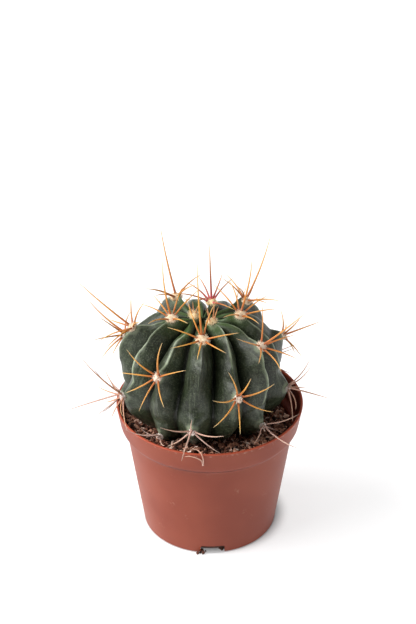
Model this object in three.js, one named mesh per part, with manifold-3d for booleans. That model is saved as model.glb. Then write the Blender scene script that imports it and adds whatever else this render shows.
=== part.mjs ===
// A small ribbed barrel cactus in its plastic nursery pot, with soil, woolly areoles and long spines.
// Millimetres and degrees. +Z is up, the front faces -Y, and the origin is the middle of the pot's underside.

import * as THREE from "three";
import { mergeVertices } from "three/addons/utils/BufferGeometryUtils.js";
import Module from "manifold-3d";

const wasm = await Module();
wasm.setup();

// Pot
const POT_HEIGHT = 64;
const LIP_RADIUS = 42.5;
const LIP_ROUND = 0.5;
const COLLAR_HEIGHT = 11;
const COLLAR_FOOT_RADIUS = 40.3;
const COLLAR_STEP = 2.6;
const COLLAR_STEP_HEIGHT = 2.2;
const FOOT_RADIUS = 30.3;
const FOOT_ROUND = 1;
const POT_WALL = 1.1;
const POT_FLOOR = 1.6;
const POT_SIDES = 40;
const NOTCH_COUNT = 4;
const NOTCH_WIDTH = 11;
const NOTCH_HEIGHT = 4.4;
const NOTCH_ROUND = 1.2;
const NOTCH_DEPTH = 8;
const NOTCH_AZIMUTH = 2.5;

// Soil
const SOIL_HEIGHT = 54;
const SOIL_RISE_TO_FRONT = 0.15;
const SOIL_RISE_TO_LEFT = 0.03;
const SOIL_LUMPS = 0.9;
const SOIL_SEED = 41;
const SOIL_SIDES = 40;
const SOIL_RINGS = 5;
const HOLE_FLARE = 2.4;

// Stem: crest profile, ribs and the lean of the whole body off the pot's axis
const STEM_X = -3.3;
const STEM_Y = -0.8;
const STEM_WAIST = 85;
const STEM_RADIUS = 36.9;
const CROWN_HEIGHT = 26.8;
const ROOT_HEIGHT = 36.5;
const STEM_FULLNESS = 0.93;
const DIMPLE_DEPTH = 4.1;
const DIMPLE_RADIUS = 10.7;
const RIB_COUNT = 13;
const RIB_STEP = 360 / RIB_COUNT;
const FIRST_RIB = -4.7;
const RIB_DEPTH = 9.6;
const RIB_DEPTH_FALL = 0.8;
const VALLEY_SLOPE = 0.76;
const VALLEY_BOWL = 0.12;
const VALLEY_STEEP = 0.12;
const CLEFT_DEPTH = 1;
const CLEFT_REACH = 0.14;
const SHALLOW_FROM = 72;
const SHALLOW_TO = 110;
const SHALLOW_SHARE = 0.56;
const RIB_END = 150;
const RIB_END_FADE = 14;
const TUBERCLE_RISE = 2.6;
const RIB_DIP = 1.8;
const TUBERCLE_SHOULDER = 8;
const TUBERCLE_CHIN = 42;
const CROWN_CHIN = 22;
const CROWN_CHIN_END = 60;
const SHORT_CHIN = 9;
const SHORT_CHIN_END = 15;
const BEND_REACH = 4;
const BEND_SPAN = 12;
const WANDER_TO_LEFT = 9;
const WANDER_TO_RIGHT = 14;
const SWAY = 1.8;
const SWAY_LENGTH = 13;
const SWAY_SHIFT = 2.4;
const COLUMNS_PER_RIB = 6;
const STEM_ROWS = 32;

// Areoles: one spiral that steps five ribs at a time, from the youngest at the crown to the oldest at the
// soil. The youngest of all sits alone in the crown, and the next two ages have none.
const YOUNGEST = -8;
const NEXT_YOUNGEST = -5;
const OLDEST = 18;
const SPIRAL_STEP = 5;
const SPIRAL_MIDDLE = 62.3;
const SPIRAL_REACH = 63.5;
const SPIRAL_MIDDLE_AGE = 4.4;
const SPIRAL_SPREAD = 9.6;
const LAST_YOUNG = -5;
const FIRST_OLD = 10;

// Wool and spines
const GAP = 0.3;
const WOOL_LENGTH = 3.6;
const WOOL_WIDTH = 4;
const WOOL_HEIGHT = 2.8;
const WOOL_OFFSET = 1.7;
const WOOL_SIDES = 8;
const YOUNG_WOOL_SHARE = 0.8;
const OLD_WOOL_SHARE = 0.85;
const ROOT_SIDES = 6;
const ROOT_RADIUS = 1.6;
const ROOT_OFFSET = -1.4;
const ROOT_SPREAD = 0.3;
const SOCKET_HEIGHT = 0.6;
const SPINE_RADIUS = 0.58;
const CENTRAL_RADIUS = 0.68;
const SPINE_SIDES = 3;
const SPINE_JOINTS = 3;
const RADIAL_LENGTH = 20;
const RADIAL_SHORTER_BELOW = 2.5;
const RADIAL_LEAN = 26;
const RADIAL_BEND = 0.12;
const CENTRAL_LENGTH = 28;
const CENTRAL_LEAN = 76;
const CENTRAL_BEND = 0.03;
const YOUNG_LENGTH = 8;
const YOUNG_LEAN = 68;
const YOUNG_RADIUS = 0.46;
const SPINE_TAPER = 0.7;
const SPINE_SEED = 7;
const CLEARANCE = 0.75;
const TURN_STEP = 4;
const LARGEST_TURN = 40;
const LEAST_LEAN = 15;
const STEEPEST_LEAN = 88;
const ROOT_STRETCH = 4.5;
const SAMPLES = 24;

const POT_COLOUR = 0x9a4c3a;
const SOIL_COLOUR = 0x2b2220;
const STEM_COLOUR = 0x35493c;
const WOOL_COLOUR = 0xe6dcc0;
const SPINE_COLOUR = 0xc47a35;
const YOUNG_SPINE_COLOUR = 0xb0432f;
const OLD_SPINE_COLOUR = 0xb39a8e;

// The areoles that face the viewer stray a little from the spiral, sideways to the right and down the rib.
// Their radial spines are given by the way each points, clockwise from straight up the rib, and the central
// spine by the same angle, its lean away from the stem and its length. The areole of age 4, straight behind the
// crown, is listed too: it sits low enough to stay out of sight.
const FACING_AREOLES = [
  { age: -8, aside: -20, down: -1, radials: [-60, 60, 170], central: null },
  { age: -5, aside: 0, down: 1, radials: [-30, 40, 110, -100], central: null },
  { age: -4, aside: -9, down: -5, radials: [125, 95, 60, 175, -160, -60], central: [155, 66, 26] },
  { age: -3, aside: -2, down: 1, radials: [-90, -125, 155, -40, -10, 85], central: [-65, 65, 27] },
  { age: -2, aside: 0, down: 0, radials: [25, 50, 125, 170, -125, -65], central: [75, 65, 27] },
  { age: -1, aside: 5, down: -4, radials: [-145, -70, 120, 90, 65, 0], central: [-150, 70, 33] },
  { age: 0, aside: 5, down: -2, radials: [-75, -120, -170, 135, 90, 20, -20], central: [-5, 50, 36] },
  { age: 1, aside: -9, down: -4, radials: [130, -115, -80, 15, -20, 75], central: [125, 70, 33] },
  { age: 2, aside: 1, down: 4, radials: [50, -70, 5, -125, 130, 90, 170], central: [-115, 65, 32] },
  { age: 3, aside: 5, down: -2, radials: [35, -55, 105, 155, -150, -105], central: [85, 70, 26] },
  { age: 4, aside: 0, down: 16, radials: [100, -100, 140, -140, 180], central: [180, 50, 24] },
  { age: 5, aside: 1, down: 1, radials: [-55, 60, -95, -130, -175, 135], central: [25, 45, 29] },
  { age: 6, aside: 5, down: 8, radials: [70, 105, 165, 140, -165, -35], central: [125, 60, 27] },
  { age: 7, aside: 0, down: 4, radials: [40, -135, 180, 75, -80, 125], central: [0, 60, 24] },
  { age: 8, aside: 0, down: -3, radials: [-20, 65, 115, -170, -115, -65], central: [10, 35, 17] },
  { age: 10, aside: -3, down: 3, radials: [15, -85, -120, -155, 75, 120], central: [-10, 28, 30] },
  { age: 11, aside: 0, down: 1, radials: [30, -10, -45, -80, -120, 175], central: [120, 55, 25] },
  { age: 13, aside: -2, down: -2, radials: [5, -50, 60, -115, 110, -175], central: [-5, 65, 27] },
  { age: 16, aside: -3, down: 0, radials: [60, -70, -40, 120], central: [-20, 55, 26] },
  { age: 18, aside: 0, down: 0, radials: [0, 25, 60, -60], central: null },
];

// The course of the ribs in view between their areoles: pairs of polar angle and stray to the right. Rib 0 holds
// the areole of age 0, and the ribs are numbered to the right.
const RIB_BENDS = new Map([
  [-2, [[34, 0], [48, -1], [64, -4.4], [79, -1], [88, 2]]],
  [-1, [[23, 5], [33, -3], [45, 0], [83, 3], [97, 2]]],
  [0, [[48, 5], [77, 2], [95, 0]]],
  [1, [[23, 9], [33, 7.5], [54, 3], [70, 1.4], [94, -1.3]]],
  [2, [[24, 14], [35, 12], [45, 6.5], [61, -0.5], [68, -1.6], [90, 0.7], [102, -2]]],
  [3, [[32, -5.5], [46, -3], [58, 0], [78, -1.8]]],
]);

const radians = THREE.MathUtils.degToRad;
const clamp = THREE.MathUtils.clamp;
const lerp = THREE.MathUtils.lerp;

/** Numbers from 0 to 1 that are the same each time for the same seed. */
function seededDraw(seed) {
  let state = seed >>> 0;
  return () => {
    state = (state + 0x6d2b79f5) >>> 0;
    let mixed = Math.imul(state ^ (state >>> 15), 1 | state);
    mixed = (mixed + Math.imul(mixed ^ (mixed >>> 7), 61 | mixed)) ^ mixed;
    return ((mixed ^ (mixed >>> 14)) >>> 0) / 2 ** 32;
  };
}

/** The positions of a geometry with shared vertices merged and no triangle that has shrunk to a line. */
function mergedGeometry(geometry) {
  const bare = geometry.index ? geometry.toNonIndexed() : geometry.clone();
  bare.deleteAttribute("normal");
  bare.deleteAttribute("uv");
  const merged = mergeVertices(bare, 1e-4);
  const kept = [];
  for (let i = 0; i < merged.index.count; i += 3) {
    const corners = [0, 1, 2].map((step) => merged.index.getX(i + step));
    if (new Set(corners).size === 3) kept.push(...corners);
  }
  merged.setIndex(kept);
  return merged;
}

function toSolid(geometry) {
  const merged = mergedGeometry(geometry);
  const mesh = new wasm.Mesh({
    numProp: 3,
    vertProperties: new Float32Array(merged.attributes.position.array),
    triVerts: new Uint32Array(merged.index.array),
  });
  return new wasm.Manifold(mesh);
}

function toGeometry(solid) {
  const mesh = solid.getMesh();
  const geometry = new THREE.BufferGeometry();
  geometry.setAttribute("position", new THREE.BufferAttribute(new Float32Array(mesh.vertProperties), 3));
  geometry.setIndex(new THREE.BufferAttribute(new Uint32Array(mesh.triVerts), 1));
  geometry.computeVertexNormals();
  return geometry;
}

/** The largest of the bodies that a cut leaves. */
function largestBody(solid) {
  return solid.decompose().reduce((best, body) => (body.volume() > best.volume() ? body : best));
}

/** A closed surface from a first pole, over rings whose points pointAt(column, row) gives, to a last pole. */
function closedSurface(columns, rows, firstPole, lastPole, pointAt) {
  const points = [firstPole];
  for (let row = 0; row < rows; row += 1) {
    for (let column = 0; column < columns; column += 1) points.push(pointAt(column, row));
  }
  points.push(lastPole);
  const last = points.length - 1;
  const at = (column, row) => 1 + row * columns + (column % columns);
  const index = [];
  for (let column = 0; column < columns; column += 1) {
    index.push(0, at(column, 0), at(column + 1, 0));
    for (let row = 0; row < rows - 1; row += 1) {
      index.push(at(column, row), at(column, row + 1), at(column + 1, row + 1));
      index.push(at(column, row), at(column + 1, row + 1), at(column + 1, row));
    }
    index.push(last, at(column + 1, rows - 1), at(column, rows - 1));
  }
  const geometry = new THREE.BufferGeometry().setFromPoints(points);
  geometry.setIndex(index);
  return geometry;
}

/** A point of the stem's crest profile, lifted off it along its outward direction. */
function crestPoint(azimuth, polar, lift) {
  const sine = Math.sin(radians(polar));
  const cosine = Math.cos(radians(polar));
  const radius = STEM_RADIUS * sine;
  const halfHeight = cosine > 0 ? CROWN_HEIGHT : ROOT_HEIGHT;
  const height = Math.sign(cosine) * halfHeight * Math.abs(cosine) ** STEM_FULLNESS;
  const dimple = cosine > 0 ? DIMPLE_DEPTH * Math.exp(-((radius / DIMPLE_RADIUS) ** 2)) : 0;
  const reach = radius + lift * sine;
  return new THREE.Vector3(
    STEM_X + reach * Math.sin(radians(azimuth)),
    STEM_Y - reach * Math.cos(radians(azimuth)),
    STEM_WAIST + height - dimple + lift * cosine,
  );
}

/** The areole of one age: its rib, its place on the stem and, where it faces the viewer, its own spines. */
function makeAreole(age) {
  const turned = THREE.MathUtils.euclideanModulo(SPIRAL_STEP * age, RIB_COUNT);
  const rib = turned > (RIB_COUNT - 1) / 2 ? turned - RIB_COUNT : turned;
  const facing = FACING_AREOLES.find((entry) => entry.age === age);
  const aside = facing ? facing.aside : 0;
  const down = facing ? facing.down : 0;
  const azimuth = FIRST_RIB + rib * RIB_STEP + aside;
  const spiral = SPIRAL_MIDDLE + SPIRAL_REACH * Math.tanh((age - SPIRAL_MIDDLE_AGE) / SPIRAL_SPREAD);
  return { age, rib, aside, azimuth, polar: spiral + down, facing };
}

const areoles = [makeAreole(YOUNGEST)];
for (let age = NEXT_YOUNGEST; age <= OLDEST; age += 1) areoles.push(makeAreole(age));

const areolesOfRib = Array.from({ length: RIB_COUNT }, (_, index) =>
  areoles.filter((areole) => THREE.MathUtils.euclideanModulo(areole.rib, RIB_COUNT) === index),
);

/** The rib's number from the front one, negative to the left. */
function signedRib(ribIndex) {
  return ribIndex > (RIB_COUNT - 1) / 2 ? ribIndex - RIB_COUNT : ribIndex;
}

/** The polar angles and strays that a rib's crest goes through: its areoles and its bends. */
const knotsOfRib = areolesOfRib.map((own, ribIndex) => {
  const bends = RIB_BENDS.get(signedRib(ribIndex)) ?? [];
  return [...own.map(({ polar, aside }) => [polar, aside]), ...bends]
    .sort(([first], [second]) => first - second)
    .map(([polar, aside]) => [polar, clamp(aside, -WANDER_TO_LEFT, WANDER_TO_RIGHT)]);
});

/** A rib's stray at a polar angle, in straight lines between its knots. */
function ribCourse(ribIndex, polar) {
  const knots = knotsOfRib[ribIndex];
  const next = knots.findIndex(([at]) => at > polar);
  if (next === 0) return knots[0][1];
  if (next < 0) return knots[knots.length - 1][1];
  const [lowPolar, low] = knots[next - 1];
  const [highPolar, high] = knots[next];
  return THREE.MathUtils.mapLinear(polar, lowPolar, highPolar, low, high);
}

/** How far a rib wanders sideways: its course smoothed by a bell, and a slow sway where it has no bends. */
function ribWander(ribIndex, polar) {
  const sway = RIB_BENDS.has(signedRib(ribIndex)) ? 0 : SWAY;
  let weighted = 0;
  let total = 0;
  for (let offset = -BEND_SPAN; offset <= BEND_SPAN; offset += 1) {
    const weight = Math.exp(-((offset / BEND_REACH) ** 2));
    const swayed = sway * Math.sin((polar + offset) / SWAY_LENGTH + SWAY_SHIFT * ribIndex);
    weighted += weight * (ribCourse(ribIndex, polar + offset) + swayed);
    total += weight;
  }
  return weighted / total;
}

/** A rib's height over the crest profile: a short shoulder over each areole, a long chin, then a dip. */
function tubercleRise(ribIndex, polar) {
  let bump = 0;
  for (const areole of areolesOfRib[ribIndex]) {
    const offset = polar - areole.polar;
    const grown = lerp(CROWN_CHIN, TUBERCLE_CHIN, Math.min(1, areole.polar / CROWN_CHIN_END));
    const chin = areole.polar < SHORT_CHIN_END ? SHORT_CHIN : grown;
    const share = offset < 0 ? Math.abs(offset / TUBERCLE_SHOULDER) ** 2.5 : (offset / chin) ** 2;
    bump = Math.max(bump, Math.exp(-share));
  }
  return lerp(-RIB_DIP, TUBERCLE_RISE, bump);
}

/** A point of the stem's skin. around runs from 0 to RIB_COUNT, whole numbers being the ribs' crests. */
function skinPoint(around, polar) {
  const left = Math.floor(around) % RIB_COUNT;
  const right = (left + 1) % RIB_COUNT;
  const between = around - Math.floor(around);
  const azimuth = FIRST_RIB + around * RIB_STEP
    + lerp(ribWander(left, polar), ribWander(right, polar), between);
  const fromCrest = 2 * Math.min(between, 1 - between);
  const valley = VALLEY_SLOPE * fromCrest + VALLEY_BOWL * fromCrest ** 2 + VALLEY_STEEP * fromCrest ** 5;
  const slope = Math.sin(radians(polar));
  const fade = THREE.MathUtils.smoothstep(RIB_END + RIB_END_FADE - polar, 0, 2 * RIB_END_FADE);
  const aging = THREE.MathUtils.smoothstep(polar, SHALLOW_FROM, SHALLOW_TO);
  const inCleft = Math.exp(-(((1 - fromCrest) / CLEFT_REACH) ** 2)) * Math.min(1, 3 * slope);
  const ribDepth = RIB_DEPTH * valley * slope ** RIB_DEPTH_FALL * (1 - SHALLOW_SHARE * aging);
  const depth = (ribDepth + CLEFT_DEPTH * inCleft * (1 - aging)) * fade;
  const rise = tubercleRise(between < 0.5 ? left : right, polar) * (1 - fromCrest) ** 2 * fade;
  return crestPoint(azimuth, polar, rise - depth);
}

function makeStemGeometry(lift) {
  const columns = RIB_COUNT * COLUMNS_PER_RIB;
  const pole = (polar) => crestPoint(0, polar, 0).setX(STEM_X).setY(STEM_Y);
  const top = pole(0).add(new THREE.Vector3(0, 0, lift));
  const bottom = pole(180).sub(new THREE.Vector3(0, 0, lift));
  return closedSurface(columns, STEM_ROWS, top, bottom, (column, row) => {
    const polar = (180 * (row + 1)) / (STEM_ROWS + 1);
    const point = skinPoint(column / COLUMNS_PER_RIB, polar);
    const azimuth = Math.atan2(point.x - STEM_X, STEM_Y - point.y);
    const outward = Math.sin(radians(polar));
    point.x += lift * outward * Math.sin(azimuth);
    point.y -= lift * outward * Math.cos(azimuth);
    point.z += lift * Math.cos(radians(polar));
    return point;
  });
}

const stepTop = POT_HEIGHT - COLLAR_HEIGHT;
const stepFoot = stepTop - COLLAR_STEP_HEIGHT;

/** The pot's outer half-section, from the foot to the lip, as [radius, height] pairs. */
const POT_OUTSIDE = [
  [FOOT_RADIUS - FOOT_ROUND, 0],
  [FOOT_RADIUS, FOOT_ROUND],
  [COLLAR_FOOT_RADIUS - COLLAR_STEP, stepFoot],
  [COLLAR_FOOT_RADIUS, stepTop],
  [LIP_RADIUS, POT_HEIGHT - LIP_ROUND],
];

/** The radius of the pot's inner wall at a height. */
function insideRadius(height) {
  const last = POT_OUTSIDE.length - 1;
  let i = 1;
  while (i < last - 1 && height > POT_OUTSIDE[i + 1][1]) i += 1;
  const [lowRadius, low] = POT_OUTSIDE[i];
  const [highRadius, high] = POT_OUTSIDE[i + 1];
  return THREE.MathUtils.mapLinear(height, low, high, lowRadius, highRadius) - POT_WALL;
}

/** The drain notch: a low arch through the foot of the wall and the rim of the floor. */
function makeNotchSolid(azimuth) {
  const half = NOTCH_WIDTH / 2;
  const arch = new THREE.Shape();
  arch.moveTo(-half, -1);
  arch.lineTo(half, -1);
  arch.lineTo(half, NOTCH_HEIGHT - NOTCH_ROUND);
  arch.quadraticCurveTo(half, NOTCH_HEIGHT, half - NOTCH_ROUND, NOTCH_HEIGHT);
  arch.lineTo(-half + NOTCH_ROUND, NOTCH_HEIGHT);
  arch.quadraticCurveTo(-half, NOTCH_HEIGHT, -half, NOTCH_HEIGHT - NOTCH_ROUND);
  arch.closePath();
  const cut = { depth: NOTCH_DEPTH, bevelEnabled: false, curveSegments: 3 };
  const geometry = new THREE.ExtrudeGeometry(arch, cut);
  geometry.rotateX(Math.PI / 2);
  geometry.translate(0, -(FOOT_RADIUS + 1 - NOTCH_DEPTH), 0);
  geometry.rotateZ(radians(azimuth));
  return toSolid(geometry);
}

function makePotGeometry() {
  const inside = [POT_HEIGHT - LIP_ROUND, stepTop, stepFoot, POT_FLOOR].map((z) => [insideRadius(z), z]);
  const lip = [
    [LIP_RADIUS - LIP_ROUND / 2, POT_HEIGHT],
    [LIP_RADIUS - POT_WALL + LIP_ROUND / 2, POT_HEIGHT],
  ];
  const profile = [[0, 0], ...POT_OUTSIDE, ...lip, ...inside, [0, POT_FLOOR]];
  const lathe = new THREE.LatheGeometry(profile.map(([r, z]) => new THREE.Vector2(r, z)), POT_SIDES);
  lathe.rotateX(Math.PI / 2);
  let pot = toSolid(lathe);
  for (let i = 0; i < NOTCH_COUNT; i += 1) {
    pot = pot.subtract(makeNotchSolid(NOTCH_AZIMUTH + (360 * i) / NOTCH_COUNT));
  }
  return toGeometry(pot);
}

/** The soil's level under its lumps: highest at the front left. */
function soilLevel(x, y) {
  return SOIL_HEIGHT - SOIL_RISE_TO_FRONT * y - SOIL_RISE_TO_LEFT * x;
}

/** The plain hole that the stem's foot stands in: a bowl round the foot, a little wider towards its rim. */
function holePoint(azimuth, polar) {
  const flare = HOLE_FLARE * THREE.MathUtils.smoothstep(-polar, -180, -RIB_END);
  return crestPoint(azimuth, polar, 2 * GAP + flare);
}

/** The polar angle on the stem at which the hole comes out of the soil. */
function holeRim(azimuth) {
  let polar = RIB_END;
  let rim = holePoint(azimuth, polar);
  while (rim.z < soilLevel(rim.x, rim.y)) {
    polar -= 0.5;
    rim = holePoint(azimuth, polar);
  }
  return polar;
}

function makeSoilGeometry() {
  const draw = seededDraw(SOIL_SEED);
  const floor = POT_FLOOR + GAP;
  const holeRows = 3;
  const rows = holeRows + SOIL_RINGS + 2;
  const pole = crestPoint(0, 180, GAP).setX(STEM_X).setY(STEM_Y);
  const bottom = new THREE.Vector3(0, 0, floor);
  const rimAngles = Array.from({ length: SOIL_SIDES }, (_, column) => holeRim((360 * column) / SOIL_SIDES));
  return closedSurface(SOIL_SIDES, rows, pole, bottom, (column, row) => {
    const azimuth = (360 * column) / SOIL_SIDES;
    const rimAngle = rimAngles[column];
    if (row < holeRows) return holePoint(azimuth, lerp(180, rimAngle, (row + 1) / holeRows));
    const rim = holePoint(azimuth, rimAngle);
    const outX = Math.sin(radians(azimuth));
    const outY = -Math.cos(radians(azimuth));
    const edgeZ = soilLevel(outX * FOOT_RADIUS, outY * FOOT_RADIUS) - 1;
    const edgeRadius = insideRadius(edgeZ) - 2 * GAP;
    if (row < holeRows + SOIL_RINGS) {
      const out = (row - holeRows + 1) / SOIL_RINGS;
      const x = lerp(rim.x, outX * edgeRadius, out);
      const y = lerp(rim.y, outY * edgeRadius, out);
      const lump = out < 1 ? SOIL_LUMPS * (2 * draw() - 1) : 0;
      return new THREE.Vector3(x, y, lerp(rim.z, edgeZ, out) + lump);
    }
    const sideZ = row === holeRows + SOIL_RINGS ? Math.min(stepFoot, edgeZ - 1) : floor;
    const sideRadius = insideRadius(sideZ) - 2 * GAP;
    return new THREE.Vector3(outX * sideRadius, outY * sideRadius, sideZ);
  });
}

/** An areole's place and its three directions: up the rib, to the right along the skin, and out of it. */
function areoleFrame(areole) {
  const { azimuth, polar } = areole;
  const centre = crestPoint(azimuth, polar, TUBERCLE_RISE);
  const up = crestPoint(azimuth, polar - 1, 0).sub(crestPoint(azimuth, polar + 1, 0)).normalize();
  const right = new THREE.Vector3(Math.cos(radians(azimuth)), Math.sin(radians(azimuth)), 0);
  const out = new THREE.Vector3().crossVectors(right, up).normalize();
  return { centre, up, right, out };
}

/** The same frame as a matrix, moved along the rib, for pieces made round their own origin. */
function areoleMatrix(areole, alongRib) {
  const { centre, up, right, out } = areoleFrame(areole);
  const place = centre.clone().addScaledVector(up, alongRib);
  return new THREE.Matrix4().makeBasis(right, up, out).setPosition(place);
}

/** Points of a spine's centre line. It starts in the areole, leans off the skin and bends back towards it. */
function spineLine(areole, spine, count) {
  const { centre, up, right, out } = areoleFrame(areole);
  const clock = radians(spine.clock);
  const lean = radians(spine.lean);
  const root = centre.addScaledVector(up, ROOT_OFFSET).addScaledVector(out, SOCKET_HEIGHT);
  const along = up.multiplyScalar(Math.cos(clock)).addScaledVector(right, Math.sin(clock));
  root.addScaledVector(along, ROOT_SPREAD * Math.cos(lean));
  const heading = along.multiplyScalar(Math.cos(lean)).addScaledVector(out, Math.sin(lean));
  return Array.from({ length: count + 1 }, (_, i) => {
    const s = i / count;
    return root.clone()
      .addScaledVector(heading, s * spine.length)
      .addScaledVector(out, -s * s * spine.bend * spine.length);
  });
}

/** The spines that an areole should have, before any is turned aside to keep clear of another. */
function plannedSpines(areole) {
  const { age, facing } = areole;
  const draw = seededDraw(SPINE_SEED + 100 * (age - YOUNGEST));
  const vary = (amount) => amount * (2 * draw() - 1);
  const young = age <= LAST_YOUNG;
  const spines = [];
  if (facing && facing.central) {
    const [clock, lean, length] = facing.central;
    spines.push({ clock, lean, length, bend: CENTRAL_BEND, radius: CENTRAL_RADIUS });
  } else if (!facing && !young) {
    const clock = vary(15);
    const lean = CENTRAL_LEAN + vary(6);
    const length = CENTRAL_LENGTH + vary(3);
    spines.push({ clock, lean, length, bend: CENTRAL_BEND, radius: CENTRAL_RADIUS });
  }
  const evenly = young ? [0, 90, 180, -90] : [0, 52, 98, 140, 180, -140, -98, -52];
  const spare = Math.floor(draw() * evenly.length);
  const clocks = facing
    ? facing.radials
    : evenly.filter((_, i) => i !== spare).map((clock) => clock + vary(9));
  for (const clock of clocks) {
    const shorter = RADIAL_SHORTER_BELOW * (1 - Math.cos(radians(clock)));
    const length = (young ? YOUNG_LENGTH : RADIAL_LENGTH - shorter) + vary(1.5);
    const lean = (young ? YOUNG_LEAN : RADIAL_LEAN) + vary(4);
    spines.push({ clock, lean, length, bend: RADIAL_BEND, radius: young ? YOUNG_RADIUS : SPINE_RADIUS });
  }
  return spines;
}

/** How high a point lies over the ribs' crest profile. */
function heightOverStem(point) {
  const radius = Math.hypot(point.x - STEM_X, point.y - STEM_Y) / STEM_RADIUS;
  const rise = point.z - STEM_WAIST;
  const halfHeight = rise > 0 ? CROWN_HEIGHT : ROOT_HEIGHT;
  const height = (Math.abs(rise) / halfHeight) ** (1 / STEM_FULLNESS);
  return (Math.hypot(radius, height) - 1) * STEM_RADIUS;
}

/** Whether a spine's points keep clear of the stem, the soil, the pot and what other areoles hold. */
function isClear(areole, line, spine, placed) {
  const reach = spine.radius + CLEARANCE;
  const skipped = Math.ceil((ROOT_STRETCH / spine.length) * SAMPLES);
  for (const point of line.slice(skipped)) {
    if (heightOverStem(point) < spine.radius + GAP) return false;
    if (point.z < soilLevel(point.x, point.y) + SOIL_LUMPS + reach) return false;
    const radius = Math.hypot(point.x, point.y);
    const atWall = radius > insideRadius(POT_HEIGHT) - reach && radius < LIP_RADIUS + reach;
    if (atWall && point.z < POT_HEIGHT + reach) return false;
  }
  for (const other of placed) {
    if (other.age === areole.age) continue;
    const near = reach + other.radius;
    const touches = line.some((point) => other.points.some((spot) => spot.distanceTo(point) < near));
    if (touches) return false;
  }
  return true;
}

/** The spine turned and raised by small steps until it is clear of the rest, or null where it never is. */
function clearedSpine(areole, spine, placed) {
  const moves = [[0, 0]];
  for (let size = TURN_STEP; size <= LARGEST_TURN; size += TURN_STEP) {
    moves.push([0, size], [size, 0], [-size, 0], [size, size], [-size, size], [0, -size / 2]);
  }
  for (const [turn, raise] of moves) {
    const lean = clamp(spine.lean + raise, LEAST_LEAN, STEEPEST_LEAN);
    const turned = { ...spine, clock: spine.clock + turn, lean };
    const line = spineLine(areole, turned, SAMPLES);
    if (isClear(areole, line, turned, placed)) return { spine: turned, line };
  }
  return null;
}

/** Every areole's spines, those that face the viewer first, each clear of all that were placed before it. */
function placeSpines() {
  const placed = areoles.map((areole) => {
    const { centre, out } = areoleFrame(areole);
    return { age: areole.age, radius: WOOL_LENGTH / 2, points: [centre.addScaledVector(out, 0.5)] };
  });
  const order = [...areoles].sort((a, b) => Number(Boolean(b.facing)) - Number(Boolean(a.facing)));
  for (const areole of order) {
    areole.spines = [];
    for (const planned of plannedSpines(areole)) {
      const found = clearedSpine(areole, planned, placed);
      if (!found) continue;
      areole.spines.push(found.spine);
      placed.push({ age: areole.age, radius: found.spine.radius, points: found.line });
    }
  }
}

/** One spine: a cone with a few sides, laid along its centre line, full near the root and fine at the tip. */
function makeSpineSolid(areole, spine, grow) {
  const cone = new THREE.ConeGeometry(1, 1, SPINE_SIDES, SPINE_JOINTS);
  const { out } = areoleFrame(areole);
  const line = spineLine(areole, spine, SPINE_JOINTS);
  const places = cone.attributes.position;
  for (let i = 0; i < places.count; i += 1) {
    const s = places.getY(i) + 0.5;
    const joint = Math.round(s * SPINE_JOINTS);
    const ahead = line[Math.min(joint + 1, SPINE_JOINTS)].clone();
    const tangent = ahead.sub(line[Math.max(joint - 1, 0)]).normalize();
    const aside = new THREE.Vector3().crossVectors(tangent, out).normalize();
    const over = new THREE.Vector3().crossVectors(aside, tangent);
    const taper = s < 1 ? (spine.radius * (1 - s) ** SPINE_TAPER + grow) / (1 - s) : 0;
    const spot = line[joint].clone();
    spot.addScaledVector(aside, places.getX(i) * taper).addScaledVector(over, places.getZ(i) * taper);
    places.setXYZ(i, spot.x, spot.y, spot.z);
  }
  return toSolid(cone);
}

/** An egg-shaped lump on an areole, for its wool and for the spines' common root. */
function makeLump(areole, alongRib, [width, length, height], sides) {
  const ball = new THREE.SphereGeometry(0.5, sides, Math.ceil(sides / 2));
  ball.rotateX(Math.PI / 2);
  ball.scale(width, length, height);
  ball.applyMatrix4(areoleMatrix(areole, alongRib));
  return toSolid(ball);
}

function makeSpineBunch(areole, stem, grow) {
  const rootSize = 2 * (ROOT_RADIUS + grow);
  let bunch = makeLump(areole, ROOT_OFFSET, [rootSize, rootSize, rootSize], ROOT_SIDES);
  for (const spine of areole.spines) bunch = bunch.add(makeSpineSolid(areole, spine, grow));
  return grow > 0 ? bunch : largestBody(bunch.subtract(stem));
}

/** How large an areole's wool is for its age, as a share of its full size. */
function woolShare(areole) {
  if (areole.age <= LAST_YOUNG) return YOUNG_WOOL_SHARE;
  return areole.age < FIRST_OLD ? 1 : OLD_WOOL_SHARE;
}

function makeWool(areole, stem) {
  const sizes = [WOOL_WIDTH, WOOL_LENGTH, WOOL_HEIGHT].map((size) => size * woolShare(areole));
  const lump = makeLump(areole, WOOL_OFFSET, sizes, WOOL_SIDES);
  return largestBody(lump.subtract(stem).subtract(makeSpineBunch(areole, stem, GAP)));
}

function spineColour(areole) {
  if (areole.age <= LAST_YOUNG + 1) return YOUNG_SPINE_COLOUR;
  return areole.age < FIRST_OLD ? SPINE_COLOUR : OLD_SPINE_COLOUR;
}

function namedMesh(name, geometry, color, roughness) {
  const material = new THREE.MeshStandardMaterial({ color, roughness, metalness: 0 });
  const mesh = new THREE.Mesh(geometry, material);
  mesh.name = name;
  return mesh;
}

placeSpines();

const cactus = new THREE.Group();
cactus.add(namedMesh("pot", makePotGeometry(), POT_COLOUR, 0.45));
cactus.add(namedMesh("soil", makeSoilGeometry(), SOIL_COLOUR, 1));
cactus.add(namedMesh("stem", makeStemGeometry(0), STEM_COLOUR, 0.5));

const grownStem = toSolid(makeStemGeometry(GAP));
areoles.forEach((areole, i) => {
  const number = String(i + 1).padStart(2, "0");
  const bunch = toGeometry(makeSpineBunch(areole, grownStem, 0));
  const wool = toGeometry(makeWool(areole, grownStem));
  cactus.add(namedMesh(`spines_${number}`, bunch, spineColour(areole), 0.4));
  cactus.add(namedMesh(`wool_${number}`, wool, WOOL_COLOUR, 1));
});

export default cactus;
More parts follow.
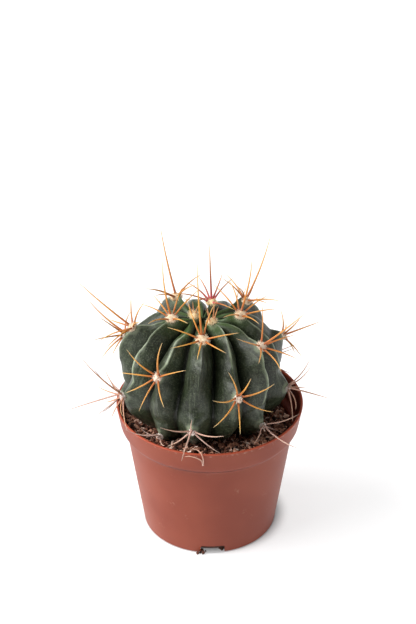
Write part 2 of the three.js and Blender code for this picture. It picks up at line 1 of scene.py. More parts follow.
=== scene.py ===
"""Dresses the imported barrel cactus: pot, soil, ribbed stem, wool and spines, and the studio round them.

Sizes are in millimetres and degrees, as in the part's source, and a mesh is written in metres. Azimuth 0
is the front, -Y, and grows towards +X. The polar angle runs down the stem, from 0 at the crown to 180 at
the root.
"""

import logging
import math
from dataclasses import dataclass, field, replace
from enum import Enum
from typing import Mapping, Optional, Sequence, Union

import bpy
import numpy as np
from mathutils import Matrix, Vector


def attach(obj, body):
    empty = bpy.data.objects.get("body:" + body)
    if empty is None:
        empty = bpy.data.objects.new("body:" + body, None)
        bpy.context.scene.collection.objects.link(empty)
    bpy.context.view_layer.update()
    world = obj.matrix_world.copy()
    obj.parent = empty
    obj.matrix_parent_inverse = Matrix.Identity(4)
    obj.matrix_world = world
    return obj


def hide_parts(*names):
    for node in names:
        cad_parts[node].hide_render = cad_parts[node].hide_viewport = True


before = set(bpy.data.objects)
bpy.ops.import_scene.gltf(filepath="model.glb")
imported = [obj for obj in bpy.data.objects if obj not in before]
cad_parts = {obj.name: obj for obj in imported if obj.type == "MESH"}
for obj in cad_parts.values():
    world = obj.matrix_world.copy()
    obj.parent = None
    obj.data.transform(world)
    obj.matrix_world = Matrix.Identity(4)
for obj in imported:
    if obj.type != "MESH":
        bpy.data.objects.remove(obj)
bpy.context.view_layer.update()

MM = 0.001
BODY = "root"
UINT32 = 0xFFFFFFFF
Angles = Union[float, np.ndarray]

log = logging.getLogger("cactus")


# Shader nodes


def linear(colour: str) -> tuple[float, float, float, float]:
    """Turns a display colour into the linear RGBA that a shader takes.

    Args:
        colour: such as "#8a4b3c".

    Returns:
        Red, green, blue and alpha.
    """
    shares = [int(colour[i:i + 2], 16) / 255 for i in (1, 3, 5)]
    light = [c / 12.92 if c <= 0.04045 else ((c + 0.055) / 1.055) ** 2.4 for c in shares]
    return (light[0], light[1], light[2], 1.0)


class Field:
    """A number that varies over a surface: a shader socket whose operators add Math nodes."""

    def __init__(self, shader: "Shader", socket: bpy.types.NodeSocket) -> None:
        """Keeps the shader that owns the socket, and the socket itself."""
        self.shader = shader
        self.socket = socket

    def math(self, operation: str, *others: "Operand", flip: bool = False) -> "Field":
        """Adds one Math node.

        Args:
            operation: Blender's name of the operation.
            others: the operands after this one.
            flip: True puts this socket after the first of the others.

        Returns:
            The node's result.
        """
        operands: list[Operand] = [self, *others]
        if flip:
            operands.reverse()
        node = self.shader.node("ShaderNodeMath", {"operation": operation}, dict(enumerate(operands)))
        return Field(self.shader, node.outputs[0])

    def __add__(self, other: "Operand") -> "Field":
        """This plus other."""
        return self.math("ADD", other)

    def __radd__(self, other: "Operand") -> "Field":
        """Other plus this."""
        return self.math("ADD", other, flip=True)

    def __sub__(self, other: "Operand") -> "Field":
        """This minus other."""
        return self.math("SUBTRACT", other)

    def __rsub__(self, other: "Operand") -> "Field":
        """Other minus this."""
        return self.math("SUBTRACT", other, flip=True)

    def __mul__(self, other: "Operand") -> "Field":
        """This times other."""
        return self.math("MULTIPLY", other)

    def __rmul__(self, other: "Operand") -> "Field":
        """Other times this."""
        return self.math("MULTIPLY", other, flip=True)

    def __pow__(self, other: "Operand") -> "Field":
        """This to the power other."""
        return self.math("POWER", other)

    def sine(self) -> "Field":
        """The sine of this, in radians."""
        return self.math("SINE")

    def between(self, low: float, high: float) -> "Field":
        """Rises smoothly from 0 where this is low to 1 where it is high.

        Args:
            low: where the rise starts; it may be the larger one.
            high: where it ends.

        Returns:
            The rise.
        """
        settings = {"interpolation_type": "SMOOTHSTEP", "clamp": True}
        node = self.shader.node("ShaderNodeMapRange", settings, {0: self, 1: low, 2: high, 3: 0.0, 4: 1.0})
        return Field(self.shader, node.outputs[0])


Operand = Union[Field, float]
Colour = Union[bpy.types.NodeSocket, str]


class Shader:
    """A material in the making, with one Principled surface."""

    def __init__(self, name: str) -> None:
        """Starts an empty material.

        Args:
            name: the material's name.
        """
        self.material = bpy.data.materials.new(name)
        self.material.use_nodes = True
        self.tree = self.material.node_tree
        self.tree.nodes.clear()

    def node(self, kind: str, settings: Mapping[str, object], inputs: Mapping) -> bpy.types.Node:
        """Adds a node.

        Args:
            kind: the node's type.
            settings: its properties; "stops" holds a ramp's (place, colour) pairs.
            inputs: a value, a Field, a socket or a colour for each input, by index or name.

        Returns:
            The node.
        """
        node = self.tree.nodes.new(kind)
        for key, value in settings.items():
            if key == "stops":
                self._set_stops(node.color_ramp, value)
            else:
                setattr(node, key, value)
        for key, value in inputs.items():
            socket = node.inputs[key]
            if isinstance(value, Field):
                value = value.socket
            if isinstance(value, bpy.types.NodeSocket):
                self.tree.links.new(value, socket)
            else:
                socket.default_value = linear(value) if isinstance(value, str) else value
        return node

    @staticmethod
    def _set_stops(ramp: bpy.types.ColorRamp, stops: Sequence[tuple[float, str]]) -> None:
        """Gives a colour ramp its stops.

        Args:
            ramp: the ramp.
            stops: (place, colour) pairs, from first to last.
        """
        while len(ramp.elements) < len(stops):
            ramp.elements.new(0.5)
        for element, (place, colour) in zip(ramp.elements, stops):
            element.position = place
            element.color = linear(colour)

    def attribute(self, name: str) -> Field:
        """The number that each point of the mesh holds under a name."""
        return Field(self, self.node("ShaderNodeAttribute", {"attribute_name": name}, {}).outputs["Fac"])

    def direction(self, name: str) -> bpy.types.NodeSocket:
        """The vector that each point of the mesh holds under a name."""
        return self.node("ShaderNodeAttribute", {"attribute_name": name}, {}).outputs["Vector"]

    def place(self) -> bpy.types.NodeSocket:
        """Object coordinates, in metres."""
        return self.node("ShaderNodeTexCoord", {}, {}).outputs["Object"]

    def distance(self, x: float = 0.0, y: float = 0.0) -> Field:
        """How far a point lies from a place on the floor.

        Args:
            x: the place's first coordinate, in millimetres.
            y: its second one.

        Returns:
            The distance in millimetres.
        """
        centre = (x * MM, y * MM, 0)
        node = self.node("ShaderNodeVectorMath", {"operation": "DISTANCE"}, {0: self.place(), 1: centre})
        return Field(self, node.outputs["Value"]) * (1 / MM)

    def height(self) -> Field:
        """How high a point lies, in millimetres."""
        node = self.node("ShaderNodeSeparateXYZ", {}, {0: self.place()})
        return Field(self, node.outputs[2]) * (1 / MM)

    def noise(self, grain: float, detail: float = 3.0, at: Optional[bpy.types.NodeSocket] = None) -> Field:
        """Noise from 0 to 1.

        Args:
            grain: the size of its patches in millimetres.
            detail: how many finer layers it has.
            at: where it is read; Object coordinates if not given.

        Returns:
            The noise.
        """
        inputs = {"Vector": at or self.place(), "Scale": 1 / (grain * MM), "Detail": detail}
        return Field(self, self.node("ShaderNodeTexNoise", {}, inputs).outputs[0])

    def cells(self, grain: float) -> Field:
        """Distance from the middle of the nearest cell, 0 there; a cell is about grain millimetres wide."""
        inputs = {"Vector": self.place(), "Scale": 1 / (grain * MM)}
        return Field(self, self.node("ShaderNodeTexVoronoi", {}, inputs).outputs["Distance"])

    def mix(self, share: Operand, first: Colour, second: Colour) -> bpy.types.NodeSocket:
        """Goes from the first colour, where share is 0, to the second, where it is 1."""
        node = self.node("ShaderNodeMix", {"data_type": "RGBA"}, {0: share, 6: first, 7: second})
        return node.outputs[2]

    def ramp(self, along: Field, stops: Sequence[tuple[float, str]]) -> bpy.types.NodeSocket:
        """A colour that goes through the stops as along goes from 0 to 1."""
        return self.node("ShaderNodeValToRGB", {"stops": stops}, {0: along}).outputs["Color"]

    def relief(self, height: Field, depth: float, below: Optional[bpy.types.NodeSocket] = None
               ) -> bpy.types.NodeSocket:
        """Normals of a small relief.

        Args:
            height: the relief, from 0 to 1.
            depth: its depth in millimetres.
            below: normals that it lies on.

        Returns:
            The normals.
        """
        inputs: dict = {"Strength": 1.0, "Distance": depth * MM, "Height": height}
        if below is not None:
            inputs["Normal"] = below
        return self.node("ShaderNodeBump", {}, inputs).outputs["Normal"]

    def finish(self, varying: Mapping[str, object], constant: Mapping[str, float]) -> bpy.types.Material:
        """Ends the material.

        Args:
            varying: links and values for Base Color, Roughness and Normal.
            constant: numbers set on the surface's own sockets.

        Returns:
            The material.
        """
        surface = self.node("ShaderNodeBsdfPrincipled", {}, {**varying, **constant})
        self.node("ShaderNodeOutputMaterial", {}, {"Surface": surface.outputs[0]})
        return self.material


# Finishes


@dataclass(frozen=True)
class PotPlastic:
    """Thin terracotta-coloured plastic: a satin skin, faint scuffs, and a moulded lip with a painted glow of
    light.
    """

    body: str = "#8d412b"
    deep: str = "#843a26"
    # The lip's painted glow of light through the thin edge
    lip: str = "#b04e33"
    # The inner wall's painted shade, also laid on the collar's underside
    inside: str = "#58221a"
    dust: str = "#c89f88"

    def material(self, top: float) -> bpy.types.Material:
        """Builds the material; it reads "inside" and "step", each 1 on that part of the pot, where it paints
        shade.

        The lip's bright band, a painted glow of light through the thin edge, and the pale flecks just under
        it lie at heights below the top.

        Args:
            top: the height of the lip, in millimetres.

        Returns:
            The material.
        """
        shader = Shader("pot_plastic")
        level = shader.height()
        clouds = shader.noise(26, 2).between(0.35, 0.68)
        body = shader.mix(clouds, self.body, self.deep)
        scuffs = shader.noise(7, 5).between(0.63, 0.74) * shader.noise(1.1, 4).between(0.45, 0.7)
        body = shader.mix(scuffs * 0.35, body, self.dust)
        # Painted shade: the inner wall is darkened
        body = shader.mix(shader.attribute("inside") * 0.75, body, self.inside)
        # Painted shade: the collar's underside is darkened with the inner wall's colour
        body = shader.mix(shader.attribute("step") * 0.75, body, self.inside)
        # Painted light: the lip's band glows brighter, as light through the thin edge
        body = shader.mix(level.between(top - 0.8, top - 0.3) * 0.85, body, self.lip)
        edge = level.between(top - 1.9, top - 1.2) * level.between(top - 0.5, top - 0.9)
        body = shader.mix(edge * shader.noise(1.6, 4).between(0.5, 0.7) * 0.5, body, self.dust)
        roughness = 0.44 + 0.06 * clouds + 0.25 * scuffs
        grain = shader.relief(shader.noise(0.35, 2), 0.010)
        waves = shader.relief(shader.noise(14, 1), 0.14, grain)
        varying = {"Base Color": body, "Roughness": roughness, "Normal": waves}
        return shader.finish(varying, {"Specular IOR Level": 0.3})


@dataclass(frozen=True)
class PottingSoil:
    """Peat and bark crumbs, each with its own tone, and some pale grit."""

    wet: str = "#1d0f0a"
    peat: str = "#7a4b39"
    bark: str = "#dda487"
    pale: str = "#fce8da"

    def material(self) -> bpy.types.Material:
        """Builds the material.

        It reads "tone", from 0, wet peat, to 1, pale grit.

        Returns:
            The material.
        """
        shader = Shader("potting_soil")
        fibres = shader.noise(0.5, 4)
        tone = shader.attribute("tone") + (fibres - 0.5) * 0.35
        stops = [(0.0, self.wet), (0.35, self.peat), (0.7, self.bark), (1.0, self.pale)]
        varying = {
            "Base Color": shader.ramp(tone, stops),
            "Roughness": 0.72 + 0.2 * fibres,
            "Normal": shader.relief(fibres, 0.25),
        }
        return shader.finish(varying, {"Specular IOR Level": 0.35})


@dataclass(frozen=True)
class StemSkin:
    """Waxy blue-green skin: pale lines on the crests, painted shade in the valleys, fine streaks, mottling
    and flecks.
    """

    flank: str = "#2a3320"
    shade: str = "#1e2416"
    bloom: str = "#5b634e"
    crest: str = "#99a588"
    # Near-black: the valleys' painted shade, and the dark mottling
    valley: str = "#0b0f08"
    young: str = "#4f6d33"
    fleck: str = "#a8b09a"
    # A pale waxy film, partly a painted glint on the crests
    wax_and_glint: str = "#c3cbb8"

    def material(self) -> bpy.types.Material:
        """Builds the material.

        It reads "crest", 1 on a crest and 0 in a valley, "edge", 1 on a pale edge, "polar", "pad", the
        distance from an areole, and "grain", which runs along the ribs.

        Returns:
            The material.
        """
        shader = Shader("stem_skin")
        crest = shader.attribute("crest")
        polar = shader.attribute("polar")
        grain = shader.direction("grain")
        clouds = shader.noise(9, 3).between(0.3, 0.7)
        streaks = shader.noise(1.3, 3, grain)
        colour = shader.mix(clouds, self.shade, self.flank)
        colour = shader.mix(streaks.between(0.5, 0.72) * crest.between(0.1, 0.7) * 0.55, colour, self.bloom)
        light_mottle = shader.noise(0.7, 4).between(0.5, 0.64)
        colour = shader.mix(light_mottle * 0.42, colour, self.bloom)
        dark_mottle = shader.noise(0.9, 4).between(0.5, 0.36)
        colour = shader.mix(dark_mottle * 0.35, colour, self.valley)
        threads = shader.noise(0.45, 3, grain).between(0.54, 0.7)
        colour = shader.mix(threads * crest.between(0.05, 0.6) * 0.3, colour, self.bloom)
        # Painted shade: darkening towards the valleys
        colour = shader.mix(crest.between(0.34, 0.0) * 0.85, colour, self.valley)
        colour = shader.mix(polar.between(42, 14) * crest.between(0.1, 0.8) * 0.6, colour, self.young)
        line = shader.attribute("edge") * (0.5 + 0.45 * shader.noise(5, 3).between(0.35, 0.65))
        colour = shader.mix(line, colour, self.crest)
        flecks = shader.cells(0.62).between(0.26, 0.12) * shader.noise(2.2, 2).between(0.45, 0.65)
        colour = shader.mix(flecks * 0.4, colour, self.fleck)
        colour = shader.mix(shader.attribute("pad").between(4.2, 2.2) * 0.5, colour, self.crest)
        # A pale waxy film towards the crests, partly painted glints
        film = shader.noise(7, 2).between(0.52, 0.75) * shader.noise(3, 2, grain).between(0.3, 0.7)
        colour = shader.mix(film * crest.between(0.25, 0.7) * 0.2, colour, self.wax_and_glint)
        leather = shader.relief(shader.noise(0.55, 3), 0.05)
        folds = shader.relief(streaks, 0.12, leather)
        lumps = shader.relief(shader.noise(5, 2), 0.45, folds)
        roughness = 0.26 + 0.16 * shader.noise(4, 3) + 0.1 * streaks
        varying = {"Base Color": colour, "Roughness": roughness, "Normal": lumps}
        return shader.finish(varying, {"Specular IOR Level": 0.38})


@dataclass(frozen=True)
class AreoleWool:
    """Felted hairs, paler at their tips, and stained and faded in places."""

    name: str
    root: str
    tip: str
    stain: str
    faded: str = "#f2e4dc"

    def material(self) -> bpy.types.Material:
        """Builds the material.

        It reads "along", 0 at a hair's root and 1 at its tip, and "aged", 1 on a faded pad.

        Returns:
            The material.
        """
        shader = Shader(f"wool_{self.name}")
        felt = shader.noise(0.35, 4)
        colour = shader.mix(shader.attribute("along") * 0.6 + felt * 0.4, self.root, self.tip)
        colour = shader.mix(shader.attribute("aged") * 0.6, colour, self.faded)
        colour = shader.mix(shader.noise(1.4, 3).between(0.5, 0.7) * 0.5, colour, self.stain)
        varying = {"Base Color": colour, "Roughness": 0.95, "Normal": shader.relief(felt, 0.12)}
        return shader.finish(varying, {"Specular IOR Level": 0.1})


@dataclass(frozen=True)
class SpineHorn:
    """Horny spines, darker at the root and pale at the tip, with the faint rings that they grow in."""

    name: str
    stops: tuple[tuple[float, str], ...]
    worn: str
    wear: float

    def material(self) -> bpy.types.Material:
        """Builds the material.

        It reads "along", 0 at a root and 1 at a tip, "reach", the millimetres from the root, and "shade",
        1 on the most worn spines.

        Returns:
            The material.
        """
        shader = Shader(f"spine_{self.name}")
        along = shader.attribute("along") + (shader.noise(2.5, 3) - 0.5) * 0.12
        colour = shader.ramp(along, self.stops)
        colour = shader.mix(shader.attribute("shade") * self.wear, colour, self.worn)
        rings = (shader.attribute("reach") * 9.5 + shader.noise(0.8, 2) * 5).sine() * 0.5 + 0.5
        normal = shader.relief(rings, 0.03)
        varying = {"Base Color": colour, "Roughness": 0.34 + 0.14 * rings, "Normal": normal}
        return shader.finish(varying, {"Specular IOR Level": 0.5})


class Stage(Enum):
    """The age of an areole, which sets its finishes; the value ends the name of its spines' slot."""

    YOUNG = "young"
    GROWN = "tan"
    OLD = "old"


WOOLS = {
    Stage.YOUNG: AreoleWool("young", "#ffe0a4", "#fff6de", "#f8c684"),
    Stage.GROWN: AreoleWool("grown", "#ecc794", "#fff8e8", "#e3a56c"),
    Stage.OLD: AreoleWool("old", "#bca89c", "#f0e8e0", "#c4a090"),
}
YOUNG_STOPS = ((0.0, "#e0406c"), (0.1, "#b43a3c"), (0.35, "#a64c22"), (0.7, "#d08c40"), (1.0, "#ecc887"))
GROWN_STOPS = ((0.0, "#a4562e"), (0.12, "#c4722f"), (0.4, "#e29c3c"), (0.75, "#f0b85e"), (1.0, "#f8e0a8"))
OLD_STOPS = ((0.0, "#a8603e"), (0.3, "#cc8044"), (0.65, "#dc9a56"), (1.0, "#ecc798"))
HORNS = {
    Stage.YOUNG: SpineHorn("young", YOUNG_STOPS, "#dba070", 0.9),
    Stage.GROWN: SpineHorn("grown", GROWN_STOPS, "#bc6236", 0.8),
    Stage.OLD: SpineHorn("old", OLD_STOPS, "#d0b0a4", 0.95),
}


# Meshes


@dataclass
class Shape:
    """Points, faces and per-point numbers of a piece, in millimetres."""

    points: np.ndarray
    quads: np.ndarray
    triangles: np.ndarray
    values: dict[str, np.ndarray] = field(default_factory=dict)

    def joined(self, other: "Shape") -> "Shape":
        """Joins two shapes that hold the same values.

        Args:
            other: the second shape.

        Returns:
            Both as one.
        """
        shift = len(self.points)
        values = {key: np.concatenate([self.values[key], other.values[key]]) for key in self.values}
        return Shape(
            np.concatenate([self.points, other.points]),
            np.concatenate([self.quads, other.quads + shift]),
            np.concatenate([self.triangles, other.triangles + shift]),
            values,
        )

    def piece(self, name: str, material: bpy.types.Material, smooth: bool = True) -> bpy.types.Object:
        """Writes the shape as a Blender object in metres, at the origin.

        Args:
            name: the object's name.
            material: its finish.
            smooth: False leaves its faces flat.

        Returns:
            The object.
        """
        mesh = bpy.data.meshes.new(name)
        corners = np.concatenate([self.quads.ravel(), self.triangles.ravel()])
        sizes = np.concatenate([np.full(len(self.quads), 4), np.full(len(self.triangles), 3)])
        mesh.vertices.add(len(self.points))
        mesh.vertices.foreach_set("co", (self.points * MM).astype(np.float32).ravel())
        mesh.loops.add(len(corners))
        mesh.loops.foreach_set("vertex_index", corners.astype(np.int32))
        mesh.polygons.add(len(sizes))
        starts = np.concatenate([[0], np.cumsum(sizes)[:-1]])
        mesh.polygons.foreach_set("loop_start", starts.astype(np.int32))
        mesh.polygons.foreach_set("use_smooth", np.full(len(sizes), smooth))
        mesh.update(calc_edges=True)
        for key, numbers in self.values.items():
            kind, slot = ("FLOAT", "value") if numbers.ndim == 1 else ("FLOAT_VECTOR", "vector")
            layer = mesh.attributes.new(key, kind, "POINT")
            layer.data.foreach_set(slot, numbers.astype(np.float32).ravel())
        mesh.validate()
        mesh.materials.append(material)
        obj = bpy.data.objects.new(name, mesh)
        bpy.context.scene.collection.objects.link(obj)
        return obj


def closed_surface(rings: np.ndarray, first: np.ndarray, last: np.ndarray) -> Shape:
    """A closed surface over rings of points, each end drawn together in a pole.

    Args:
        rings: rows x columns x 3 points; the columns close on themselves.
        first: the pole before the first row.
        last: the pole after the last row.

    Returns:
        The shape, its faces outward where the rows go down and the columns turn from -Y to +X.
    """
    rows, columns = rings.shape[:2]
    points = np.concatenate([[first], rings.reshape(-1, 3), [last]])
    grid = 1 + np.arange(rows * columns).reshape(rows, columns)
    beside = np.roll(grid, -1, axis=1)
    quads = np.stack([grid[:-1], grid[1:], beside[1:], beside[:-1]], axis=-1).reshape(-1, 4)
    pole = np.zeros(columns, dtype=int)
    cap = np.stack([pole, grid[0], beside[0]], axis=-1)
    foot = np.stack([pole + len(points) - 1, beside[-1], grid[-1]], axis=-1)
    return Shape(points, quads, np.concatenate([cap, foot]))


def unit(vectors: np.ndarray) -> np.ndarray:
    """The vectors with length 1, along the last axis."""
    return vectors / np.maximum(np.linalg.norm(vectors, axis=-1, keepdims=True), 1e-12)


def smoothstep(value: np.ndarray, low: float, high: float) -> np.ndarray:
    """Rises from 0 to 1 as 3t^2 - 2t^3.

    Args:
        value: the numbers to place on the rise.
        low: where it starts; it may be the larger one.
        high: where it ends.

    Returns:
        The rise at each number.
    """
    share = np.clip((value - low) / (high - low), 0, 1)
    return share * share * (3 - 2 * share)


def around(radius: np.ndarray, turn: np.ndarray, height: np.ndarray) -> np.ndarray:
    """Points (r sin a, -r cos a, z) about the upright axis, along a new last axis.

    Args:
        radius: the distances r from the axis.
        turn: the angles a from -Y, in radians.
        height: the heights z.

    Returns:
        The points.
    """
    return np.stack(np.broadcast_arrays(radius * np.sin(turn), -radius * np.cos(turn), height), axis=-1)


def full_turn(columns: int) -> np.ndarray:
    """Even angles over one turn, in radians."""
    return 2 * np.pi * np.arange(columns) / columns


def ball_rings(rows: int, columns: int) -> np.ndarray:
    """Rings of a ball of radius 1: (sin p sin a, -sin p cos a, cos p).

    Args:
        rows: how many rings lie between its poles.
        columns: how many points a ring has.

    Returns:
        rows x columns x 3 points.
    """
    polar = (np.pi * (np.arange(rows) + 1) / (rows + 1))[:, None]
    return around(np.sin(polar), full_turn(columns), np.cos(polar))


def tubes(lines: np.ndarray, radii: np.ndarray, sides: int) -> Shape:
    """Round tubes along many lines at once, each closed at its root and drawn to a point at its tip.

    A point is line + radius * (cos(a) * across + sin(a) * over), with across and over square to the line.
    All sides of a tube meet in one point at each end.

    Args:
        lines: tubes x joints x 3 points.
        radii: tubes x joints radii.
        sides: how many sides a tube has.

    Returns:
        The shape, with the value "along", 0 at a root and 1 at a tip.
    """
    count, joints = lines.shape[:2]
    tangents = unit(np.gradient(lines, axis=1))
    chord = unit(lines[:, -1] - lines[:, 0])
    helper = np.eye(3)[np.argmin(np.abs(chord), axis=1)][:, None, :]
    across = unit(np.cross(tangents, np.broadcast_to(helper, tangents.shape)))
    over = np.cross(tangents, across)
    angle = full_turn(sides)[None, None, :, None]
    ring = np.cos(angle) * across[:, :, None, :] + np.sin(angle) * over[:, :, None, :]
    skin = lines[:, :-1, None, :] + radii[:, :-1, None, None] * ring[:, :-1]
    body = np.concatenate([lines[:, :1], skin.reshape(count, -1, 3), lines[:, -1:]], axis=1)
    size = body.shape[1]
    rows = joints - 1
    grid = 1 + np.arange(rows * sides).reshape(rows, sides)
    beside = np.roll(grid, -1, axis=1)
    quads = np.stack([grid[:-1], beside[:-1], beside[1:], grid[1:]], axis=-1).reshape(-1, 4)
    pole = np.zeros(sides, dtype=int)
    cap = np.stack([pole, beside[0], grid[0]], axis=-1)
    tip = np.stack([pole + size - 1, grid[-1], beside[-1]], axis=-1)
    triangles = np.concatenate([cap, tip])
    shift = size * np.arange(count)[:, None, None]
    share = np.concatenate([[0.0], np.repeat(np.arange(rows) / rows, sides), [1.0]])
    return Shape(
        body.reshape(-1, 3),
        (quads[None] + shift).reshape(-1, 4),
        (triangles[None] + shift).reshape(-1, 3),
        {"along": np.tile(share, count)},
    )


LUMP_DENT = 0.26


def lumps(centres: np.ndarray, sizes: np.ndarray, rng: np.random.Generator) -> Shape:
    """Many small rough lumps: a ball of six columns and four rows, dented at random, stretched and turned.

    Args:
        centres: lumps x 3 middles.
        sizes: lumps x 3 half sizes along each lump's own axes.
        rng: where the dents and the turns come from.

    Returns:
        The shape, 48 triangles for each lump.
    """
    ball = closed_surface(ball_rings(4, 6), np.array([0, 0, 1.0]), np.array([0, 0, -1.0]))
    dents = 1 + LUMP_DENT * (2 * rng.random((len(centres), len(ball.points), 1)) - 1)
    local = ball.points[None] * dents * sizes[:, None, :]
    spin = unit(rng.normal(size=(len(centres), 4)))
    w, x, y, z = spin.T
    turns = np.stack([
        np.stack([1 - 2 * (y * y + z * z), 2 * (x * y - z * w), 2 * (x * z + y * w)], axis=-1),
        np.stack([2 * (x * y + z * w), 1 - 2 * (x * x + z * z), 2 * (y * z - x * w)], axis=-1),
        np.stack([2 * (x * z - y * w), 2 * (y * z + x * w), 1 - 2 * (x * x + y * y)], axis=-1),
    ], axis=1)
    points = np.einsum("nij,nvj->nvi", turns, local) + centres[:, None, :]
    shift = len(ball.points) * np.arange(len(centres))[:, None, None]
    return Shape(
        points.reshape(-1, 3),
        (ball.quads[None] + shift).reshape(-1, 4),
        (ball.triangles[None] + shift).reshape(-1, 3),
    )


@dataclass(frozen=True)
class Ripples:
    """Uneven ground made of plane waves: a scaled sum of sin(k.p + phase) over waves drawn once."""

    seed: int
    shortest: float
    longest: float
    waves: int = 14

    def height(self, points: np.ndarray) -> np.ndarray:
        """The ripple at each point.

        Args:
            points: the points, along the last axis.

        Returns:
            Numbers of about -1 to 1.
        """
        rng = np.random.default_rng(self.seed)
        heading = unit(rng.normal(size=(self.waves, 3)))
        length = self.shortest + (self.longest - self.shortest) * rng.random(self.waves)
        phase = 2 * np.pi * rng.random(self.waves)
        beats = points @ (heading * (2 * np.pi / length)[:, None]).T + phase
        return np.sin(beats).sum(axis=-1) / math.sqrt(self.waves / 2) / 1.6


# Pot


@dataclass
class Pot:
    """The nursery pot, turned from one profile, with drain notches cut in its foot.

    The lip, collar and foot have rounded corners; each is named by how far its round starts from the corner.
    """

    height: float = 64.0
    lip_radius: float = 42.5
    collar_height: float = 11.0
    collar_foot_radius: float = 40.6
    collar_step: float = 2.3
    collar_step_height: float = 1.5
    foot_radius: float = 31.0
    foot_round: float = 0.6
    foot_corner: float = 0.3
    collar_corner: float = 1.65
    lip_corner: float = 0.45
    inner_corner: float = 1.0
    corner_points: int = 7
    wall: float = 1.1
    floor: float = 1.6
    notches: int = 4
    notch_width: float = 11.0
    notch_height: float = 4.4
    notch_depth: float = 8.0
    notch_corner: float = 1.1
    notch_azimuth: float = 2.5
    columns: int = 256
    longest_face: float = 2.5
    sharpest_smooth: float = 38.0
    finish: PotPlastic = PotPlastic()

    @property
    def step_top(self) -> float:
        """The height at which the collar starts."""
        return self.height - self.collar_height

    @property
    def step_foot(self) -> float:
        """The height at which the wall ends under the collar."""
        return self.step_top - self.collar_step_height

    def outside_radius(self, height: np.ndarray) -> np.ndarray:
        """The radius of the outer wall, in straight lines between the profile's corners.

        Args:
            height: the heights at which it is asked.

        Returns:
            The radii.
        """
        heights = [self.foot_round, self.step_foot, self.step_top, self.height]
        radii = [self.foot_radius, self.collar_foot_radius - self.collar_step,
                 self.collar_foot_radius, self.lip_radius]
        return np.interp(height, heights, radii)

    def inside_radius(self, height: np.ndarray) -> np.ndarray:
        """The radius of the inner wall at a height."""
        return self.outside_radius(height) - self.wall

    def profile(self) -> np.ndarray:
        """The half-section from under the floor, out and up, over the lip, and down to the floor's top.

        Each corner is rounded by the curve (1-t)^2 a + 2t(1-t) c + t^2 b, where c is the corner and a and b
        lie the corner's cut away from it. Long stretches are divided afterwards.

        Returns:
            (radius, height) pairs.
        """
        sill = self.foot_radius - self.foot_round
        under_collar = self.collar_foot_radius - self.collar_step
        inner = self.lip_radius - self.wall
        corners = np.array([
            [0, 0, 0],
            [sill - 0.1, 0, self.foot_corner],
            [self.foot_radius, 0.4, self.foot_corner],
            [under_collar, self.step_foot, self.collar_corner],
            [self.collar_foot_radius, self.step_top, self.collar_corner],
            [self.lip_radius, self.height, self.lip_corner],
            [inner, self.height, self.lip_corner],
            [self.collar_foot_radius - self.wall, self.step_top, self.inner_corner],
            [under_collar - self.wall, self.step_foot, self.inner_corner],
            [self.foot_radius + 0.1 - self.wall, self.floor, self.inner_corner],
            [0, self.floor, 0],
        ])
        place, cut = corners[:, :2], corners[1:-1, 2:]
        here = place[1:-1]
        back = here + unit(place[:-2] - here) * cut
        ahead = here + unit(place[2:] - here) * cut
        t = np.linspace(0, 1, self.corner_points)[None, :, None]
        arcs = (1 - t) ** 2 * back[:, None] + 2 * t * (1 - t) * here[:, None] + t ** 2 * ahead[:, None]
        line = np.concatenate([place[:1], arcs.reshape(-1, 2), place[-1:]])
        steps = np.ceil(np.linalg.norm(np.diff(line, axis=0), axis=1) / self.longest_face).astype(int)
        places = np.concatenate([i + np.arange(n) / n for i, n in enumerate(np.maximum(steps, 1))])
        index = np.arange(len(line))
        return np.stack([np.interp(places, index, row) for row in line.T], axis=-1)

    def turned(self) -> Shape:
        """The profile turned about the pot's axis: (r sin a, -r cos a, z)."""
        profile = self.profile()[1:][::-1]
        rings = around(profile[:, :1], full_turn(self.columns), profile[:, 1:])
        return closed_surface(rings, np.array([0, 0, self.floor]), np.zeros(3))

    def notch_cutter(self, azimuth: float) -> Shape:
        """A low block with two rounded top edges, pushed in through the foot of the wall.

        The edges are quarter circles, and the block is its outline carried along -Y, then turned.

        Args:
            azimuth: the side of the pot that it stands on, in degrees.

        Returns:
            The block.
        """
        half, rounding = self.notch_width / 2, self.notch_corner
        bend = np.linspace(0, np.pi / 2, 5)
        right = np.stack([np.cos(bend), np.sin(bend)], axis=-1) * rounding
        right += [half - rounding, self.notch_height - rounding]
        left = right[::-1] * [-1, 1]
        outline = np.concatenate([[[half, -1.0]], right, left, [[-half, -1.0]]])
        far = self.foot_radius + 1
        near = far - self.notch_depth
        depth = np.array([[far], [(far + near) / 2], [near]])
        rings = np.stack(np.broadcast_arrays(outline[:, 0], -depth, outline[:, 1]), axis=-1)
        middle = self.notch_height / 2 - 0.5
        block = closed_surface(rings, np.array([0, -far, middle]), np.array([0, -near, middle]))
        sine, cosine = math.sin(math.radians(azimuth)), math.cos(math.radians(azimuth))
        block.points = block.points @ np.array([[cosine, sine, 0], [-sine, cosine, 0], [0, 0, 1]])
        return block

    def marks(self, height: np.ndarray, radius: np.ndarray) -> dict[str, np.ndarray]:
        """The values that the finish reads.

        They are "step", a bell over the collar's underside, and "inside", 1 on the inner wall; both carry
        painted shade.

        Args:
            height: the points' heights.
            radius: their distances from the axis.

        Returns:
            Both numbers of each point.
        """
        depth = self.outside_radius(height) - radius
        step_shade = np.exp(-(((height - self.step_foot - 0.7) / 0.8) ** 2))
        below_lip = smoothstep(height, self.height - 0.1, self.height - 1.5)
        return {
            "step": step_shade * (depth < 0.5),
            "inside": smoothstep(depth, 0.4 * self.wall, 0.9 * self.wall) * below_lip,
        }

